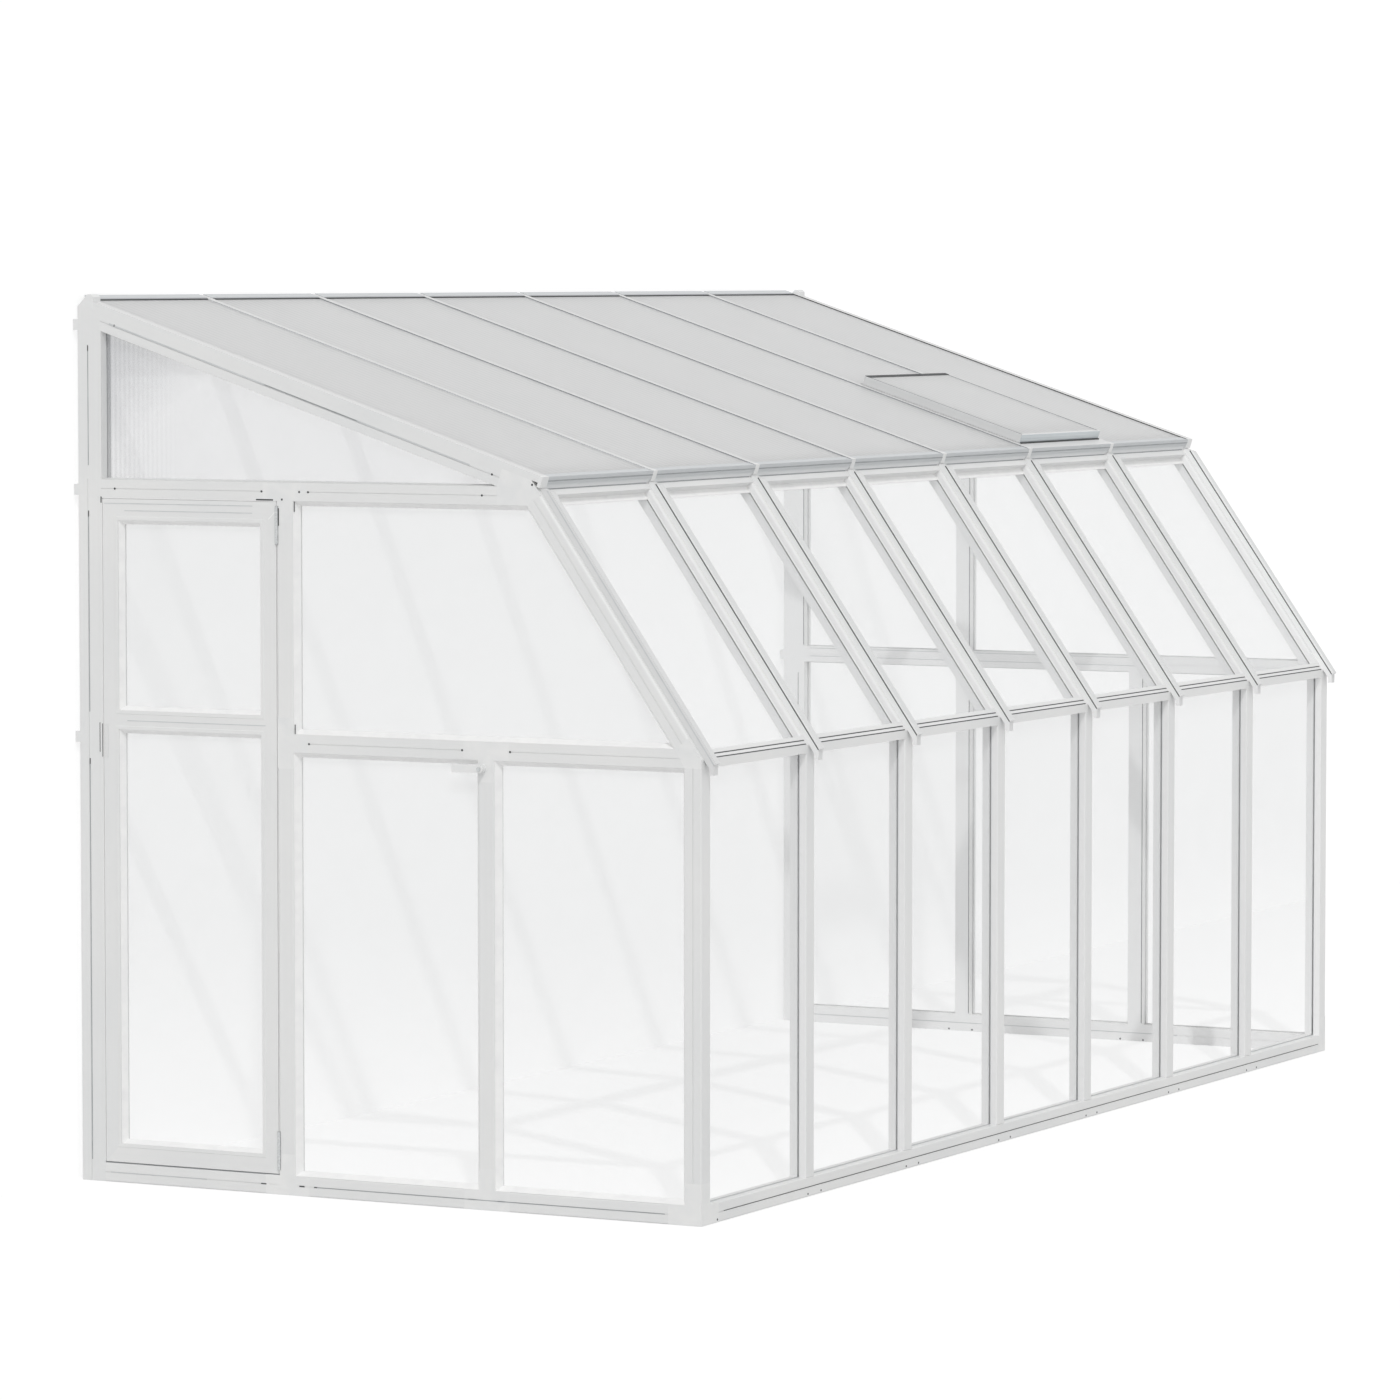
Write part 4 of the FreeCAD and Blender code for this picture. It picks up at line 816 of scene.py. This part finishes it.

# Painted shade: dark cords in the grooves of posts, sills and door, dark marks at their ends and at gaps and
# corners, and paler ones for faint lines: from (s, z) to (s, z), wide
lineLook = {
    "proud": (0.02, 0.5), "postAt": 1915.0, "posts": ((60.0, 1181.0), (1311.0, 1869.0), (1995.0, 2327.0)),
    "postWide": 2.2, "endMark": 16.0, "endMarkWide": 3.0,
    "vergeUp": -22.6, "vergePale": (192.0, 1395.0, 4.0), "vergeGrey": (560.0, 870.0, 1.2),
    "marks": (
        ((1349.0, 27.0), (1366.0, 27.0), 3.2), ((1227.0, 27.0), (1243.0, 27.0), 3.4),
        ((1196.0, 27.0), (1187.0, 27.0), 3.0), ((1250.5, 1877.0), (1250.5, 1905.0), 3.0),
        ((1250.5, 1270.0), (1250.5, 1296.0), 3.0), ((1287.5, 1910.0), (1292.5, 1910.0), 5.0),
        ((1318.0, 1908.4), (1372.0, 1908.4), 3.8), ((1300.8, 1838.0), (1300.8, 1886.0), 2.6),
        ((1874.0, 1892.0), (1874.0, 1909.0), 3.4), ((1873.2, 1187.0), (1873.2, 1279.0), 2.0),
        ((1882.0, 1200.0), (1882.0, 1282.0), 1.8)),
    "inside": (
        ((1257.6, 60.0), (1257.6, 1215.0), 2.2), ((1257.6, 1275.0), (1257.6, 1900.0), 2.2),
        ((629.6, 60.0), (629.6, 1215.0), 2.2), ((1873.6, 1275.0), (1873.6, 1900.0), 2.2),
        ((1894.0, 60.0), (1894.0, 1181.0), 2.0)),
    "insidePale": (((560.0, 1264.5), (1850.0, 1264.5), 2.2), ((560.0, 1238.0), (1850.0, 1238.0), 2.0),
                   ((500.0, 27.0), (1850.0, 27.0), 2.2)),
    "insideDots": ((1329.0, 5.0), (1244.0, 5.0), (705.0, 5.0), (623.0, 5.0)),
    "doorRails": (((1385.0, 1890.5), (1865.0, 1890.5), 2.2), ((1385.0, 1871.0), (1798.0, 1871.0), 2.2),
                  ((1345.0, 1289.5), (1792.0, 1289.5), 2.2)),
    "doorCorner": ((1333.0, 1855.0), (1312.0, 1876.0), 3.0),
    "sillGrey": ((1187.0, 27.0), (110.0, 27.0), 1.9), "sillPale": ((1855.0, 27.0), (1541.0, 27.0), 2.0),
    "frontSill": (130.0, 60.0), "frontHigh": 27.0, "frontHalf": 0.75,
}
gapLook = {"back": 0.4, "deep": 4.0, "half": 0.6, "topHalf": 1.1, "sides": (1871.35, 1306.65),
           "high": (58.0, 1903.0), "across": (1308.0, 1870.6), "sill": 54.7, "top": 1905.05}


def line(bm, u, out, a, b, wide):  # a flat strip from a to b (s, z) on a wall face at u
    way = (row(u, *b) - row(u, *a)).normalized()
    bar(bm, row(u, *a), row(u, *b), out.cross(way), out, flat(-wide / 2, wide / 2, *lineLook["proud"]))


def verge(bm, u, out, along0, along1, wide):  # a strip on the end rafter's face
    a, b = (onRoof(u, along, lineLook["vergeUp"]) for along in (along0, along1))
    line(bm, u, out, *((p.y * 1000 + shell["midS"], p.z * 1000) for p in (a, b)), wide)


def endLines():
    cords, shadeMarks, pale, doorCords, corner, strips = (bmesh.new() for _ in range(6))
    far, s = shell["length"], lineLook["postAt"]
    inside = far - shell["bar"]
    for u, out in ((0.0, -acrossU), (far, acrossU)):
        for z0, z1 in lineLook["posts"]:
            end = z1 - lineLook["endMark"]
            line(cords, u, out, (s, z0), (s, end), lineLook["postWide"])
            line(shadeMarks, u, out, (s, end), (s, z1), lineLook["endMarkWide"])
        verge(pale, u, out, *lineLook["vergePale"])
        verge(cords, u, out, *lineLook["vergeGrey"])
    for mark in lineLook["marks"]:
        line(shadeMarks, 0.0, -acrossU, *mark)
    for mark in lineLook["inside"]:  # painted shade along the bar edges of the plain end, seen from inside
        line(shadeMarks, inside, -acrossU, *mark)
    for mark in lineLook["insidePale"]:
        line(pale, inside, -acrossU, *mark)
    for spot in lineLook["insideDots"]:
        screwHead(shadeMarks, row(inside, *spot), -acrossU)
    for mark in lineLook["doorRails"]:
        line(doorCords, 0.0, -acrossU, *mark)
    line(corner, 0.0, -acrossU, *lineLook["doorCorner"])
    back, deep, half = gapLook["back"], gapLook["deep"], gapLook["half"]
    for s in gapLook["sides"]:  # strips that close the door gaps, clear of the swing
        a, b = (row(back, s, z) for z in gapLook["high"])
        bar(strips, a, b, acrossS, -acrossU, flat(-half, half, -deep, 0.0))
    # the gap under the door is drawn as a dark cord, painted shade
    for z, wide, store in ((gapLook["sill"], half, cords), (gapLook["top"], gapLook["topHalf"], strips)):
        a, b = (row(back, s, z) for s in gapLook["across"])
        bar(store, a, b, upright, -acrossU, flat(-wide, wide, -deep, 0.0))
    fromDoor, fromFar = lineLook["frontSill"]
    half = lineLook["frontHalf"]
    a, b = (row(u, 0.0, lineLook["frontHigh"]) for u in (fromDoor, far - fromFar))
    bar(shadeMarks, a, b, upright, -acrossS, flat(-half, half, *lineLook["proud"]))
    line(cords, 0.0, -acrossU, *lineLook["sillGrey"])
    line(pale, 0.0, -acrossU, *lineLook["sillPale"])
    newPiece("groove_strips", cords, halfShadeRubber, "frame")
    newPiece("verge_strips", pale, rubber, "frame")
    newPiece("groove_shade_marks", shadeMarks, blackRubberAndShade, "frame")
    newPiece("door_rail_cords", doorCords, rubber, "door")
    newPiece("door_corner_strip", corner, whiteTape, "door")
    newPiece("door_gap_strips", strips, whiteTape, "frame")


endLines()
print("stage: rubber, skins and screws")

# Camera at the photograph's viewing angle
cameraLook = {"place": (-15129.2, -7884.3, 2537.4), "turn": (86.192, 0.0, -62.462), "lens": 166.55,
              "sensor": 36.0, "reach": 200.0}
lens = bpy.data.cameras.new("camera")
lens.lens = cameraLook["lens"]
lens.sensor_width = cameraLook["sensor"]
lens.clip_end = cameraLook["reach"]
camera = bpy.data.objects.new("camera", lens)
camera.location = row(*cameraLook["place"])
camera.rotation_euler = [math.radians(a) for a in cameraLook["turn"]]
scene.collection.objects.link(camera)
scene.camera = camera

# White studio: the sky is white to the camera and a calm grey to the surfaces. The paper gives back its catch
# of the light, so that shadows show, and its own white on top
studio = {"sky": "#FFFFFF", "ambient": 0.75, "key": 0.86, "keyTurn": (42.3, 0.0, -57.1), "keySoft": 1.3,
          "floor": "#E2E2E2", "floorCatch": 0.36, "floorWhite": 0.69, "floorHalf": 90.0, "floorLow": -0.0005,
          "wallCatch": 0.55, "wallWhite": 0.595, "wallAt": 1967.0, "wallHalf": 60.0, "wallHigh": 40.0}


def backgroundRays(tree):  # rays that show the background: the camera's own, in metal and through glass
    path = addNode(tree, "LightPath")
    seen = addNode(tree, "Math", {"operation": "MAXIMUM"},
                   {0: path.outputs["Is Camera Ray"], 1: path.outputs["Is Glossy Ray"]})
    return addNode(tree, "Math", {"operation": "MAXIMUM"},
                   {0: seen.outputs[0], 1: path.outputs["Is Transmission Ray"]}).outputs[0]


world = bpy.data.worlds.new("studio")
scene.world = world
world.use_nodes = True
world.node_tree.nodes.clear()
level = addNode(world.node_tree, "MapRange", {"To": (studio["ambient"], 1.0)},
                {"Value": backgroundRays(world.node_tree)})
sky = addNode(world.node_tree, "Background", {"Color": linear(studio["sky"])},
              {"Strength": level.outputs["Result"]})
addNode(world.node_tree, "OutputWorld", {}, {"Surface": sky.outputs["Background"]})


def stagePlane(name, corners, catch, white, oneSided):
    # Paper that is white where lit and keeps faint shadows, and a plain diffuse pale tone to other rays
    bm = bmesh.new()
    bm.faces.new([bm.verts.new(c) for c in corners])
    mesh = bpy.data.meshes.new(name)
    bm.to_mesh(mesh)
    bm.free()
    plane = bpy.data.objects.new(name, mesh)
    scene.collection.objects.link(plane)
    made, tree = newMaterial(name + "Paper")
    seen = backgroundRays(tree)
    paper = addNode(tree, "BsdfDiffuse", {"Color": (catch, catch, catch, 1.0)})
    glow = addNode(tree, "Emission", {"Color": linear("#FFFFFF"), "Strength": white})
    shown = addNode(tree, "AddShader", {}, {0: paper.outputs["BSDF"], 1: glow.outputs["Emission"]})
    if oneSided:  # only there to catch shadows: no other ray meets it, and it is clear from behind
        facing = addNode(tree, "NewGeometry")
        front = addNode(tree, "Math", {"operation": "SUBTRACT", 0: 1.0}, {1: facing.outputs["Backfacing"]})
        seen = addNode(tree, "Math", {"operation": "MULTIPLY"}, {0: seen, 1: front.outputs[0]}).outputs[0]
        other = addNode(tree, "BsdfTransparent")
    else:
        other = addNode(tree, "BsdfDiffuse", {"Color": linear(studio["floor"])})
    mix = addNode(tree, "MixShader", {}, {0: seen, 1: other.outputs["BSDF"], 2: shown.outputs["Shader"]})
    addNode(tree, "OutputMaterial", {}, {"Surface": mix.outputs["Shader"]})
    mesh.materials.append(made)


half, low = studio["floorHalf"], studio["floorLow"]
stagePlane("floor", [(x, y, low) for x, y in flat(-half, half, -half, half)],
           studio["floorCatch"], studio["floorWhite"], False)
half, back = studio["wallHalf"], (studio["wallAt"] - shell["midS"]) / 1000
stagePlane("backdrop", [(x, back, z) for x, z in flat(-half, half, 0.0, studio["wallHigh"])],
           studio["wallCatch"], studio["wallWhite"], True)

sun = bpy.data.lights.new("key", "SUN")
sun.energy = studio["key"]
sun.angle = math.radians(studio["keySoft"])
key = bpy.data.objects.new("key", sun)
key.rotation_euler = [math.radians(a) for a in studio["keyTurn"]]
scene.collection.objects.link(key)
scene.view_settings.view_transform = "Standard"
print("stage: camera and light")
